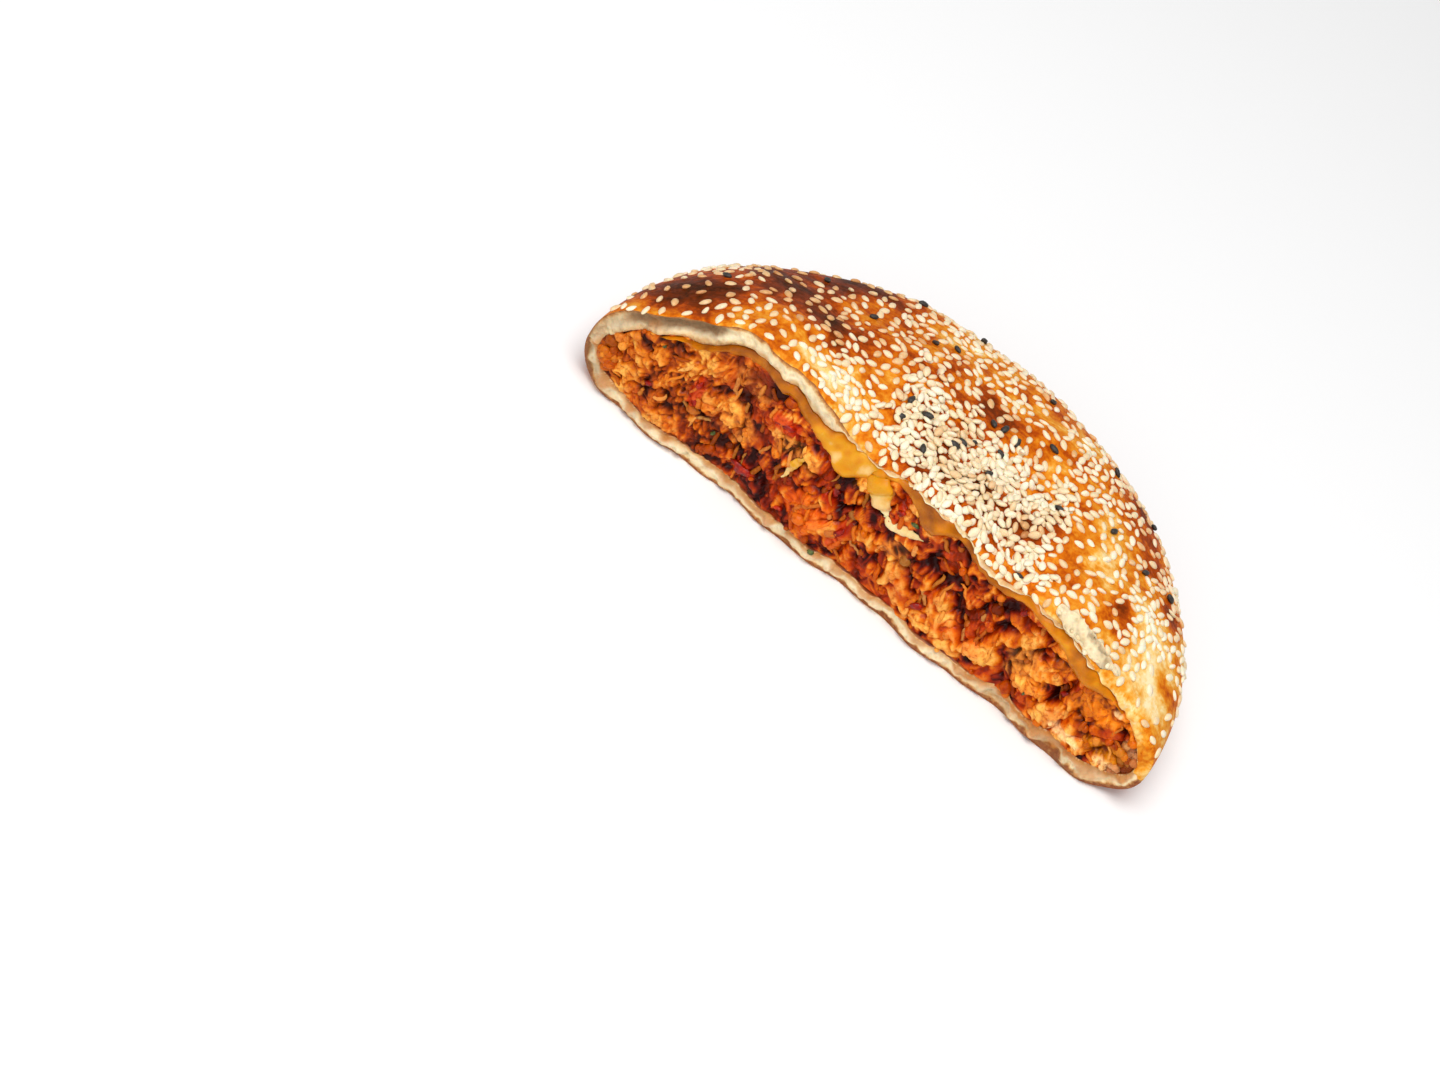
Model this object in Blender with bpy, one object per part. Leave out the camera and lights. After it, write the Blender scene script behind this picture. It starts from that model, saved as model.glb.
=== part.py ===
"""Half of a round filled flatbread pie, cut straight across and lying on its flat base.

The cut faces -Y. It shows the bread above and below, a layer of melted cheese under the
top crust, and the egg and tomato filling. Lengths are in metres, +Z is up, and the origin
is under the middle of the half pie, on the surface that it lies on.
"""

import math

import bpy
import numpy as np
from mathutils import Matrix, Vector

MM = 0.001

# Driving dimensions of the bread
TIP_REACH = 88 * MM  # from the middle of the cut to each tip
DEPTH = 84 * MM  # from the cut to the back of the rim
CROWN_HEIGHT = 40 * MM
RIM_HEIGHT = 12 * MM  # height of the rim's widest line
FLAT_SHARE = 0.85  # the base is flat out to this share of the way to the rim
TOP_CRUST = 5.2 * MM
BOTTOM_CRUST = 4.4 * MM
RIM_BREAD = 10 * MM  # solid bread between the pocket and the back of the rim

# The blister that lifts the top crust left of the middle
BLISTER_HEIGHT = 9.5 * MM
BLISTER_X = -50 * MM
BLISTER_WIDTH = 32 * MM
BLISTER_DEPTH = 34 * MM

# Dips where the knife pressed the top crust down at the cut: place, depth and width
CUT_DIPS = (
    (-16 * MM, 2.5 * MM, 9 * MM),
    (30 * MM, 3.3 * MM, 10 * MM),
    (72 * MM, 3.2 * MM, 12 * MM),
)
DIP_REACH = 15 * MM  # how far back from the cut a dip fades out

# The pocket inside the bread
POCKET_X = -4 * MM
POCKET_REACH = 78 * MM
POCKET_RIM = 12.5 * MM  # height at which the pocket's roof and floor meet
GAP = 0.3 * MM  # clearance that each layer keeps to the next
CHEESE_GAP = 0.8 * MM  # the same under the cheese, whose drips curve more
FILLING_INSET = 2.5 * MM  # clearance at the pocket's rim

# Melted cheese: a thin sheet, with thick places at the cut as (place, extra, width)
CHEESE_THICKNESS = 1.7 * MM
CHEESE_DRIPS = (
    (-15 * MM, 6.5 * MM, 10 * MM),
    (5 * MM, 2.6 * MM, 8 * MM),
    (54 * MM, 4.0 * MM, 12 * MM),
)
DRIP_REACH = 22 * MM

# Sesame and nigella seeds on the top crust
SEED_COUNT = 90
SEED_SIZE = (3.2 * MM, 2.0 * MM, 1.3 * MM)
SEED_SPACING = 7.6 * MM
SEED_SINK = 0.15 * MM  # how far a seed's middle lies under the crust

# Lumps of egg and tomato that stand out of the cut
LUMP_COUNT = 36
LUMP_RADII = (2.2 * MM, 4.2 * MM)
LUMP_SPACING = 6.0 * MM
BULGE = 1.6 * MM  # how far the filling swells out of the cut

# The cut leans back a little and is slightly wavy
LEAN = 3.0 * MM
WAVES = ((0.8 * MM, 43 * MM, 1.0), (0.45 * MM, 17 * MM, 2.3))
WAVE_REACH = 12 * MM

CUT_Y = -40 * MM  # where the cut lies once the footprint is centred on the origin


def from_middle(x, y, reach=TIP_REACH, depth=DEPTH, middle=0.0):
    """0 in the middle of the pie, rising to 1 at its rim."""
    return np.minimum(1.0, np.hypot((x - middle) / reach, y / depth))


def bump(value, place, width):
    return np.exp(-(((value - place) / width) ** 2))


def swell(x, y):
    """The uneven rise of the dough: three crossing waves under 1 mm high."""
    return (
        0.7 * MM * np.sin(x / (9.0 * MM) + y / (14.0 * MM) + 0.6)
        + 0.6 * MM * np.sin(y / (7.5 * MM) - x / (21.0 * MM) + 2.0)
        + 0.4 * MM * np.sin(x / (5.2 * MM) - y / (6.1 * MM))
    )


def crust_top(x, y):
    """Height of the crust's upper skin."""
    blister = BLISTER_HEIGHT * bump(x, BLISTER_X, BLISTER_WIDTH) * bump(y, 0.0, BLISTER_DEPTH)
    dips = sum(depth * bump(x, place, width) for place, depth, width in CUT_DIPS)
    crown = CROWN_HEIGHT + blister + swell(x, y) - dips * bump(y, 0.0, DIP_REACH)
    dome = (1.0 - from_middle(x, y) ** 2.5) ** 0.38
    return RIM_HEIGHT + (crown - RIM_HEIGHT) * dome


def turned_up(share, start, low, high):
    """Flat at the low height, then a quarter ellipse up to the high one at the rim."""
    along = np.clip((share - start) / (1.0 - start), 0.0, 1.0)
    return low + (high - low) * (1.0 - np.sqrt(1.0 - along**2))


def crust_bottom(x, y):
    return turned_up(from_middle(x, y), FLAT_SHARE, 0.0, RIM_HEIGHT)


def in_pocket(x, y, inset=0.0):
    return from_middle(x, y, POCKET_REACH - inset, DEPTH - RIM_BREAD - inset, POCKET_X)


def pocket_roof(x, y):
    closing = (1.0 - in_pocket(x, y) ** 4) ** 0.4
    return POCKET_RIM + (crust_top(x, y) - TOP_CRUST - POCKET_RIM) * closing


def pocket_floor(x, y):
    return turned_up(in_pocket(x, y), FLAT_SHARE, BOTTOM_CRUST, POCKET_RIM)


def cheese_thickness(x, y):
    drips = sum(extra * bump(x, place, width) for place, extra, width in CHEESE_DRIPS)
    share = np.clip(1.25 - in_pocket(x, y), 0.25, 1.0)
    return (CHEESE_THICKNESS + drips * bump(y, 0.0, DRIP_REACH)) * share


def cheese_top(x, y):
    """Just under the pocket's roof, with more room where the roof turns down to the rim."""
    return pocket_roof(x, y) - GAP * (1.2 + 2.0 * in_pocket(x, y) ** 4)


def cheese_bottom(x, y):
    return cheese_top(x, y) - cheese_thickness(x, y)


def filling_top(x, y):
    closing = (1.0 - in_pocket(x, y, FILLING_INSET) ** 6) ** 0.5
    return POCKET_RIM + (cheese_bottom(x, y) - CHEESE_GAP - POCKET_RIM) * closing


def filling_bottom(x, y):
    return turned_up(in_pocket(x, y, FILLING_INSET), FLAT_SHARE, BOTTOM_CRUST + GAP, POCKET_RIM)


def lay_cut(x, y, z):
    """Leans the cut back and makes it wavy. Points far behind the cut stay in place."""
    fade = np.exp(-((np.maximum(y, 0.0) / WAVE_REACH) ** 2))
    wave = sum(high * np.sin(2 * math.pi * (x + 0.4 * z) / long + start) for high, long, start in WAVES)
    leaning = LEAN * z / CROWN_HEIGHT * np.clip(1.0 - y / DEPTH, 0.0, 1.0)
    return x, y + leaning + wave * fade, z


def crumb_relief(x, z):
    """How far the filling stands out of the cut: a swell with crags as small as an egg curd."""
    return (
        BULGE
        + 0.9 * MM * np.sin(x / (1.9 * MM) + 1.3 * np.sin(z / (2.6 * MM)))
        + 0.8 * MM * np.sin(z / (1.6 * MM) + x / (4.1 * MM) + 1.0)
        + 0.6 * MM * np.sin(x / (1.1 * MM) - z / (1.7 * MM))
    )


def stations(middle, reach, count, end_share=0.9996):
    """Places along the cut, closer together towards the tips."""
    turn = math.asin(end_share)
    return [middle + reach * math.sin(turn * (2 * i / (count - 1) - 1)) for i in range(count)]


def section(x, half, top, bottom, rows, front, relief, crowding):
    """One closed outline across the pie at x: up the cut, back over the top, forward underneath.

    A crowding above 1 draws the upper rows together behind the cut, where the layers vary most.
    """
    back_rows, base_rows = rows
    points = []
    low, high = bottom(x, 0.0), top(x, 0.0)
    for step in range(front + 1):
        z = low + (high - low) * step / front
        inside = 0 < step < front
        points.append((-relief(x, z) * math.sin(math.pi * step / front) ** 0.35 if inside else 0.0, z))
    for step in range(1, back_rows + 1):
        y = half * math.sin(0.5 * math.pi * (step / back_rows) ** crowding)
        points.append((y, top(x, y)))
    for step in range(base_rows - 1, 0, -1):
        y = half * math.sin(0.5 * math.pi * step / base_rows)
        points.append((y, bottom(x, y)))
    return points


def no_relief(x, z):
    return 0.0


def layer_mesh(
    name, middle, reach, depth, top, bottom, count, rows, front=1, relief=no_relief, ahead=0.0, crowding=1.4
):
    """A closed solid from sections along the cut. A positive ahead carries its front out past the cut."""
    places = stations(middle, reach, count)
    vertices, faces = [], []
    for x in places:
        half = depth * math.sqrt(1.0 - ((x - middle) / reach) ** 2)
        outline = section(x, half, top, bottom, rows, front, relief, crowding)
        if ahead:
            first, last = outline[0], outline[front]
            outline = [(-ahead, first[1]), (-ahead, last[1])] + outline[front:] + outline[:1]
        for y, z in outline:
            vertices.append([float(value) for value in lay_cut(x, y, z)])
    ring = len(outline)
    for i in range(len(places) - 1):
        for j in range(ring):
            a, b = i * ring + j, i * ring + (j + 1) % ring
            faces.append((a, a + ring, b + ring, b))
    faces.append(tuple(range(ring)))
    faces.append(tuple(reversed(range(len(vertices) - ring, len(vertices)))))
    mesh = bpy.data.meshes.new(name)
    mesh.from_pydata(vertices, [], faces)
    return mesh


def material(name, colour, roughness):
    made = bpy.data.materials.new(name)
    made.use_nodes = True
    shader = made.node_tree.nodes["Principled BSDF"]
    shader.inputs["Base Color"].default_value = (*colour, 1.0)
    shader.inputs["Roughness"].default_value = roughness
    shader.inputs["Metallic"].default_value = 0.0
    return made


def add_object(name, mesh, collection=None):
    made = bpy.data.objects.new(name, mesh)
    (collection or bpy.context.scene.collection).objects.link(made)
    return made


def apply_boolean(target, operation, solver, **operand):
    """Cuts or joins, keeps the result as the target's mesh, and leaves no modifier behind."""
    modifier = target.modifiers.new(operation.title(), "BOOLEAN")
    modifier.operation = operation
    modifier.solver = solver
    for setting, value in operand.items():
        setattr(modifier, setting, value)
    bpy.context.view_layer.update()
    graph = bpy.context.evaluated_depsgraph_get()
    result = bpy.data.meshes.new_from_object(target.evaluated_get(graph))
    target.modifiers.clear()
    target.data = result


def fuse(target, collection):
    apply_boolean(target, "UNION", "EXACT", operand_type="COLLECTION", collection=collection)
    for piece in list(collection.objects):
        bpy.data.objects.remove(piece)
    bpy.data.collections.remove(collection)


def skin_frame(x, y):
    """Place and upward normal of the crust's skin, as the cut's lean and waves leave it."""
    step = 0.5 * MM
    here, right, back = (
        Vector([float(value) for value in lay_cut(px, py, crust_top(px, py))])
        for px, py in ((x, y), (x + step, y), (x, y + step))
    )
    return here, (right - here).cross(back - here).normalized()


def spread_points(draws, count, spacing, accept):
    """Draws places by the given rule and keeps those that stand clear of the others."""
    kept = []
    while len(kept) < count:
        place = draws()
        clear = all(math.dist(place, other) > spacing for other in kept)
        if clear and accept(*place):
            kept.append(place)
    return kept


def add_seeds(collection):
    """Seeds lie flat on the skin, each turned its own way, evenly spread over the top."""
    chance = np.random.default_rng(11)

    def draw():
        return chance.uniform(-TIP_REACH, TIP_REACH), chance.uniform(3.5 * MM, DEPTH)

    def on_top(x, y):
        return from_middle(x, y) < 0.95

    shape = seed_mesh()
    for x, y in spread_points(draw, SEED_COUNT, SEED_SPACING, on_top):
        place, normal = skin_frame(x, y)
        turn = Matrix.Rotation(chance.uniform(0, 2 * math.pi), 4, "Z")
        lay = normal.to_track_quat("Z", "Y").to_matrix().to_4x4()
        seed = add_object("seed", shape, collection)
        seed.matrix_world = Matrix.Translation(place - normal * SEED_SINK) @ lay @ turn


def seed_mesh():
    """A flat drop with six sides: rounded at one end and pointed at the other."""
    length, width, thickness = SEED_SIZE
    sides = 6
    rings = ((-0.30, 0.78), (0.06, 1.0), (0.34, 0.52))
    vertices = [(-0.5 * length, 0.0, 0.0)]
    for along, swelling in rings:
        for side in range(sides):
            turn = 2 * math.pi * (side + 0.5) / sides
            across = 0.5 * width * swelling * math.cos(turn)
            up = 0.5 * thickness * swelling * math.sin(turn)
            vertices.append((along * length, across, up))
    vertices.append((0.5 * length, 0.0, 0.0))
    last = len(vertices) - 1
    faces = []
    for side in range(sides):
        following = (side + 1) % sides
        faces.append((0, 1 + following, 1 + side))
        for ring in range(len(rings) - 1):
            near, far = 1 + ring * sides, 1 + (ring + 1) * sides
            faces.append((near + side, near + following, far + following, far + side))
        tail = 1 + (len(rings) - 1) * sides
        faces.append((tail + side, tail + following, last))
    mesh = bpy.data.meshes.new("seed")
    mesh.from_pydata(vertices, [], faces)
    return mesh


def add_lumps(collection):
    """Lumps sit half in the filling's cut face, between the crusts, the largest with the most room."""
    chance = np.random.default_rng(23)
    smallest, largest = LUMP_RADII

    def draw():
        return chance.uniform(-POCKET_REACH, POCKET_REACH) + POCKET_X, chance.uniform(0.0, CROWN_HEIGHT)

    def room(x, z):
        sides = (x - largest, x, x + largest)
        return min(min(filling_top(side, 0.0) - z, z - filling_bottom(side, 0.0)) for side in sides)

    def fits(x, z):
        return room(x, z) > smallest + 2 * GAP and in_pocket(x, 0.0) < 0.9

    for x, z in spread_points(draw, LUMP_COUNT, LUMP_SPACING, fits):
        radius = min(largest, float(room(x, z)) - 2 * GAP) * chance.uniform(0.8, 1.0)
        lump = add_object("lump", lump_mesh(radius, chance), collection)
        lump.location = [float(value) for value in lay_cut(x, 0.2 * radius - BULGE, z)]


def lump_mesh(radius, chance):
    """An uneven ball of twenty faces, longer one way than the others."""
    mesh = bpy.data.meshes.new("lump")
    golden = 0.5 * (1 + math.sqrt(5))
    corners = [
        Vector(corner).normalized()
        for a in (-1, 1)
        for b in (-golden, golden)
        for corner in ((0, a, b), (a, b, 0), (b, 0, a))
    ]
    edge = min((p - q).length for p in corners for q in corners if p is not q)
    faces = []
    for i, p in enumerate(corners):
        for j in range(i + 1, len(corners)):
            for k in range(j + 1, len(corners)):
                q, r = corners[j], corners[k]
                sides = ((p - q).length, (q - r).length, (r - p).length)
                if max(sides) < 1.1 * edge:
                    outward = (q - p).cross(r - p).dot(p) > 0
                    faces.append((i, j, k) if outward else (i, k, j))
    turn = Matrix.Rotation(chance.uniform(0, math.pi), 3, "Y")
    long, tall = chance.uniform(0.85, 1.0), chance.uniform(0.7, 1.0)
    vertices = []
    for corner in corners:
        reach = radius * chance.uniform(0.86, 1.0)
        vertices.append(turn @ Vector((corner.x * long, corner.y * 0.9, corner.z * tall)) * reach)
    mesh.from_pydata(vertices, [], faces)
    return mesh


def make_bread():
    outside = layer_mesh(
        "bread", 0.0, TIP_REACH, DEPTH, crust_top, crust_bottom, 43, (14, 6), crowding=1.0
    )
    bread = add_object("bread", outside)
    pocket = layer_mesh(
        "pocket",
        POCKET_X,
        POCKET_REACH,
        DEPTH - RIM_BREAD,
        pocket_roof,
        pocket_floor,
        43,
        (9, 7),
        ahead=12 * MM,
    )
    cutter = add_object("pocket_cutter", pocket)
    apply_boolean(bread, "DIFFERENCE", "EXACT", object=cutter)
    bpy.data.objects.remove(cutter)
    seeds = bpy.data.collections.new("seeds")
    bpy.context.scene.collection.children.link(seeds)
    add_seeds(seeds)
    fuse(bread, seeds)
    return bread


def make_cheese():
    inset = 6 * MM
    mesh = layer_mesh(
        "cheese",
        POCKET_X,
        POCKET_REACH - inset,
        DEPTH - RIM_BREAD - inset,
        cheese_top,
        cheese_bottom,
        43,
        (7, 7),
        front=3,
        relief=lambda x, z: 0.8 * MM,
    )
    return add_object("melted_cheese", mesh)


def make_filling():
    mesh = layer_mesh(
        "filling",
        POCKET_X,
        POCKET_REACH - FILLING_INSET,
        DEPTH - RIM_BREAD - FILLING_INSET,
        filling_top,
        filling_bottom,
        56,
        (7, 5),
        front=11,
        relief=crumb_relief,
    )
    filling = add_object("filling", mesh)
    lumps = bpy.data.collections.new("lumps")
    bpy.context.scene.collection.children.link(lumps)
    add_lumps(lumps)
    fuse(filling, lumps)
    return filling


def main():
    for old in list(bpy.data.objects):
        bpy.data.objects.remove(old)
    pieces = (
        (make_bread(), material("baked_bread", (0.62, 0.30, 0.08), 0.55)),
        (make_cheese(), material("melted_cheese", (0.80, 0.42, 0.05), 0.30)),
        (make_filling(), material("egg_and_tomato", (0.72, 0.22, 0.03), 0.45)),
    )
    for piece, finish in pieces:
        piece.data.materials.clear()
        piece.data.materials.append(finish)
        piece.location.y = CUT_Y


main()
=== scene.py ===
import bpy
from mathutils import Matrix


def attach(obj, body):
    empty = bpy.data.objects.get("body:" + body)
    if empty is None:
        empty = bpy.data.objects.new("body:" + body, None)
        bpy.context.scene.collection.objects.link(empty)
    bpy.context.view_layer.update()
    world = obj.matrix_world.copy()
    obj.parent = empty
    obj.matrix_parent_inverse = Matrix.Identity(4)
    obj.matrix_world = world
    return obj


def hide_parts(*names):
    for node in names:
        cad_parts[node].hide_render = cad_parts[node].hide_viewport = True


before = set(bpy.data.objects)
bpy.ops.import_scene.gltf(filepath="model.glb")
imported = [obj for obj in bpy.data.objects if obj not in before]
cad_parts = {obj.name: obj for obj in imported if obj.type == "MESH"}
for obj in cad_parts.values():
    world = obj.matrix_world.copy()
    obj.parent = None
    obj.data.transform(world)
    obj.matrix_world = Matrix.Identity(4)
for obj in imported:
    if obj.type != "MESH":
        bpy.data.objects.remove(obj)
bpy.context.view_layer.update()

import functools
import itertools
import math

import bmesh
import bpy
import numpy as np
from mathutils import Matrix, Vector

mm = 0.001
cutY = -40.0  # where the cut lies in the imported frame
mergeWithin = 0.004  # points nearer than this, in millimetres, become one

pie = {
    "tipReach": 88.0,  # from the middle of the cut to each tip
    "depth": 84.0,  # from the cut to the back of the rim
    "crown": 40.0,
    "rimHeight": 12.0,
    "flatShare": 0.85,  # the base is flat out to this share of the way to the rim
    "topCrust": 5.2,
    "bottomCrust": 4.4,
    "rimBread": 10.0,
    "blister": (9.5, -50.0, 32.0, 34.0),  # height, place, width and depth
    "dips": ((-16.0, 2.5, 9.0), (30.0, 3.3, 10.0), (72.0, 3.2, 12.0)),  # place, depth, width
    "dipReach": 15.0,
    "pocketX": 0.3,
    "pocketReach": 84.3,
    "pocketEnds": 9.0,  # how squarely the roof keeps its height towards the pocket's ends
    "pocketRim": 12.5,
    "pressed": (-23.0, 94.0),  # between these the knife pressed the crust down over the crumb
    "pressedBy": 3.0,
    # lips of crumb that hang into the pocket at the cut: place, extra thickness and width
    "lips": ((-62.0, 2.0, 4.5), (-44.0, -0.7, 7.0), (-78.0, -1.8, 5.0), (-31.0, 0.8, 5.0)),
    # the same on the floor, which is thicker towards the right tip: place, height and width
    "floorLips": ((65.0, 3.6, 8.0), (77.0, 3.0, 5.0), (50.0, 1.4, 5.0), (-74.0, 0.8, 5.0)),
    "lean": 3.0,
    "waves": ((0.8, 43.0, 1.0), (0.45, 17.0, 2.3)),  # height, length and start
    "waveReach": 12.0,
}


# Numbers and noise


def bump(value, place, width):
    # bell curve: 1 at the place, falling off over the width
    return np.exp(-(((value - place) / width) ** 2))


def smoothStep(value, low, high):
    # 0 below low, 1 above high, and a smooth S between them
    share = np.clip((value - low) / (high - low), 0.0, 1.0)
    return share * share * (3.0 - 2.0 * share)


def band(value, low, high, soft):
    # 1 between low and high, fading to 0 over twice the softness at each end
    return smoothStep(value, low - soft, low + soft) * (1.0 - smoothStep(value, high - soft, high + soft))


def hashed(cells, salt):
    # one number from 0 to 1 for each whole-number cell: odd multipliers, then folded bits
    mixed = cells[..., 0] * 374761393 + cells[..., 1] * 668265263
    mixed = mixed + cells[..., 2] * 1440662683 + salt * 1274126177
    mixed = (mixed ^ (mixed >> 13)) * 1103515245
    mixed = (mixed ^ (mixed >> 17)) * 1274126177
    return ((mixed ^ (mixed >> 15)) & 0xFFFFFF) / float(0x1000000)


def noise(points, size, salt=0):
    # smooth noise from -1 to 1: random values on a lattice of that size, blended by an S curve
    spot = points / size
    cell = np.floor(spot).astype(np.int64)
    share = spot - cell
    share = share * share * (3.0 - 2.0 * share)
    total = np.zeros(points.shape[:-1])
    for corner in itertools.product((0, 1), repeat=3):
        corner = np.array(corner)
        weight = np.prod(np.where(corner == 1, share, 1.0 - share), axis=-1)
        total += weight * hashed(cell + corner, salt)
    return 2.0 * total - 1.0


def layers(points, *rows):
    # several sizes of noise added up: each row is a height, a size and a salt
    return sum(high * noise(points, size, salt) for high, size, salt in rows)


def alongCut(rows, x):
    # bell curves along the cut added up: each row is a place, a height and a width
    return sum(high * bump(x, place, wide) for place, high, wide in rows)


def patchwork(rows, x, other):
    # oval bell-shaped patches added up: each row is a centre, two half widths and a height
    return sum(high * bump(x, px, wide) * bump(other, po, tall) for px, po, wide, tall, high in rows)


def lumps(points, size, salt):
    # one jittered centre in each lattice cell: gives the distance to the nearest centre as a
    # share of the size, and a number from 0 to 1 that belongs to that centre
    spot = points / size
    cell = np.floor(spot).astype(np.int64)
    nearest = np.full(points.shape[:-1], 9.0)
    own = np.zeros(points.shape[:-1])
    for step in itertools.product((-1, 0, 1), repeat=3):
        there = cell + np.array(step)
        jitter = np.stack([hashed(there, salt + k) for k in (1, 2, 3)], axis=-1)
        distance = np.linalg.norm(spot - there - jitter, axis=-1)
        closer = distance < nearest
        nearest = np.where(closer, distance, nearest)
        own = np.where(closer, hashed(there, salt + 4), own)
    return nearest, own


def flat(x, y, z=0.0):
    # three coordinates side by side as points
    return np.stack(np.broadcast_arrays(x, y, z), axis=-1).astype(float)


# The pie's own shape, shared by every piece


def fromMiddle(x, y, reach=pie["tipReach"], depth=pie["depth"], middle=0.0):
    # 0 in the middle of the pie, rising to 1 at its rim
    return np.minimum(1.0, np.hypot((x - middle) / reach, y / depth))


def swell(x, y):
    # the uneven rise of the dough: three crossing waves under 1 mm high
    return (
        0.7 * np.sin(x / 9.0 + y / 14.0 + 0.6)
        + 0.6 * np.sin(y / 7.5 - x / 21.0 + 2.0)
        + 0.4 * np.sin(x / 5.2 - y / 6.1)
    )


def crustTop(x, y):
    # a dome with a power curve to the rim, lifted by the blister and pressed by dips at the cut
    height, place, width, depth = pie["blister"]
    blister = height * bump(x, place, width) * bump(y, 0.0, depth)
    dips = alongCut(pie["dips"], x) * bump(y, 0.0, pie["dipReach"])
    crown = pie["crown"] + blister + swell(x, y) - dips
    return pie["rimHeight"] + (crown - pie["rimHeight"]) * (1.0 - fromMiddle(x, y) ** 2.5) ** 0.38


def pressed(x):
    # 1 where the knife pressed the crust over the crumb
    low, high = pie["pressed"]
    return band(x, low, high, 4.0)


def skinTop(x, y):
    # the dome with a rounded edge at the cut and the fine unevenness of a risen, blistered skin
    edge = 0.8 + 1.9 * pressed(x)
    inside = np.clip(1.0 - y / edge, 0.0, 1.0)
    rounding = edge * (1.0 - np.sqrt(1.0 - inside**2))
    spot = flat(x, y)
    calm = 1.0 - fromMiddle(x, y) ** 6
    relief = layers(spot, (0.5, 9.0, 3), (0.28, 4.2, 4), (0.1, 1.7, 5))
    near, own = lumps(spot, 11.0, 40)
    blisters = 0.9 * np.clip(1.0 - (near / 0.36) ** 2, 0.0, 1.0) ** 2 * (own > 0.6)
    ragged = 0.35 * noise(flat(x, 0.0 * y, 7.0), 2.6, 6) * np.exp(-y / 1.6)
    return crustTop(x, y) - rounding * calm + (relief + blisters) * calm + ragged * calm


def turnedUp(share, start, low, high):
    # flat at the low height, then a quarter ellipse up to the high one at the rim
    along = np.clip((share - start) / (1.0 - start), 0.0, 1.0)
    return low + (high - low) * (1.0 - np.sqrt(1.0 - along**2))


def crustBottom(x, y):
    # the flat base with shallow dents, turned up to the rim
    share = fromMiddle(x, y)
    dents = 0.35 * np.clip(noise(flat(x, y, 5.0), 6.0, 8), 0.0, 1.0) * (1.0 - share**4)
    return turnedUp(share, pie["flatShare"], 0.0, pie["rimHeight"]) + dents


def inPocket(x, y, inset=0.0):
    # 0 in the middle of the pocket, rising to 1 at its rim, or that far inside it
    depth = pie["depth"] - pie["rimBread"] - inset
    return fromMiddle(x, y, pie["pocketReach"] - inset, depth, pie["pocketX"])


def pocketRoof(x, y):
    # the crust's thickness under the dome, thinner where the knife pressed it, and torn at the cut
    extra = alongCut(pie["lips"], x) - pie["pressedBy"] * pressed(x)
    thick = pie["topCrust"] + extra * bump(y, 0.0, 12.0)
    share = inPocket(x, y)
    torn = 0.8 * noise(flat(x, 0.0 * y, 3.0), 4.4, 9) + 0.5 * noise(flat(x, 0.0 * y, 4.0), 1.7, 7)
    torn = torn * np.exp(-y / 2.0) * (1.0 - share**4) * (1.0 - 0.5 * pressed(x))
    closing = (1.0 - share ** pie["pocketEnds"]) ** 0.4
    return pie["pocketRim"] + (crustTop(x, y) - thick - pie["pocketRim"]) * closing + torn


def floorLips(x, y):
    # the crumb that stands up from the floor at the cut, falling away behind it
    return alongCut(pie["floorLips"], x) * np.exp(-y / 4.0)


def pocketFloor(x, y):
    # the base's thickness, turned up to the rim and torn at the cut
    share = inPocket(x, y)
    torn = 0.9 * noise(flat(x, 0.0 * y, 9.0), 5.2, 10) + 0.5 * noise(flat(x, 0.0 * y, 8.0), 1.9, 19)
    torn = (torn * np.exp(-y / 2.0) + floorLips(x, y)) * (1.0 - share**4)
    return turnedUp(share, pie["flatShare"], pie["bottomCrust"], pie["pocketRim"]) + torn


def layCut(x, y, z):
    # leans the cut back and makes it wavy; points far behind the cut stay in place
    fade = np.exp(-((np.maximum(y, 0.0) / pie["waveReach"]) ** 2))
    along = 2 * math.pi * (x + 0.4 * z)
    wave = sum(high * np.sin(along / long + start) for high, long, start in pie["waves"])
    leaning = pie["lean"] * z / pie["crown"] * np.clip(1.0 - y / pie["depth"], 0.0, 1.0)
    return flat(x, y + leaning + wave * fade, z)


def surface(height, x, y):
    # points on a surface that is given by its height, leaned and waved like the cut
    return layCut(x + 0 * y, y, height(x + 0 * y, y))


# Meshes, nodes and colours


def linear(colour):
    # sRGB hex to linear light: a straight foot, then a power of 2.4
    srgb = np.array([int(colour[i : i + 2], 16) / 255 for i in (1, 3, 5)])
    return np.where(srgb <= 0.04045, srgb / 12.92, ((srgb + 0.055) / 1.055) ** 2.4)


def rgba(colour):
    # the same with full cover, as a colour socket takes it
    return (*linear(colour), 1.0)


def gridFaces(rows, columns, start=0, closed=False):
    # the quads between neighbouring rows and columns of a grid of points
    across = np.arange(columns if closed else columns - 1)
    low = start + np.arange(rows - 1)[:, None] * columns + across
    following = start + np.arange(rows - 1)[:, None] * columns + (across + 1) % columns
    return np.stack([low, following, following + columns, low + columns], axis=-1).reshape(-1, 4)


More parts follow.
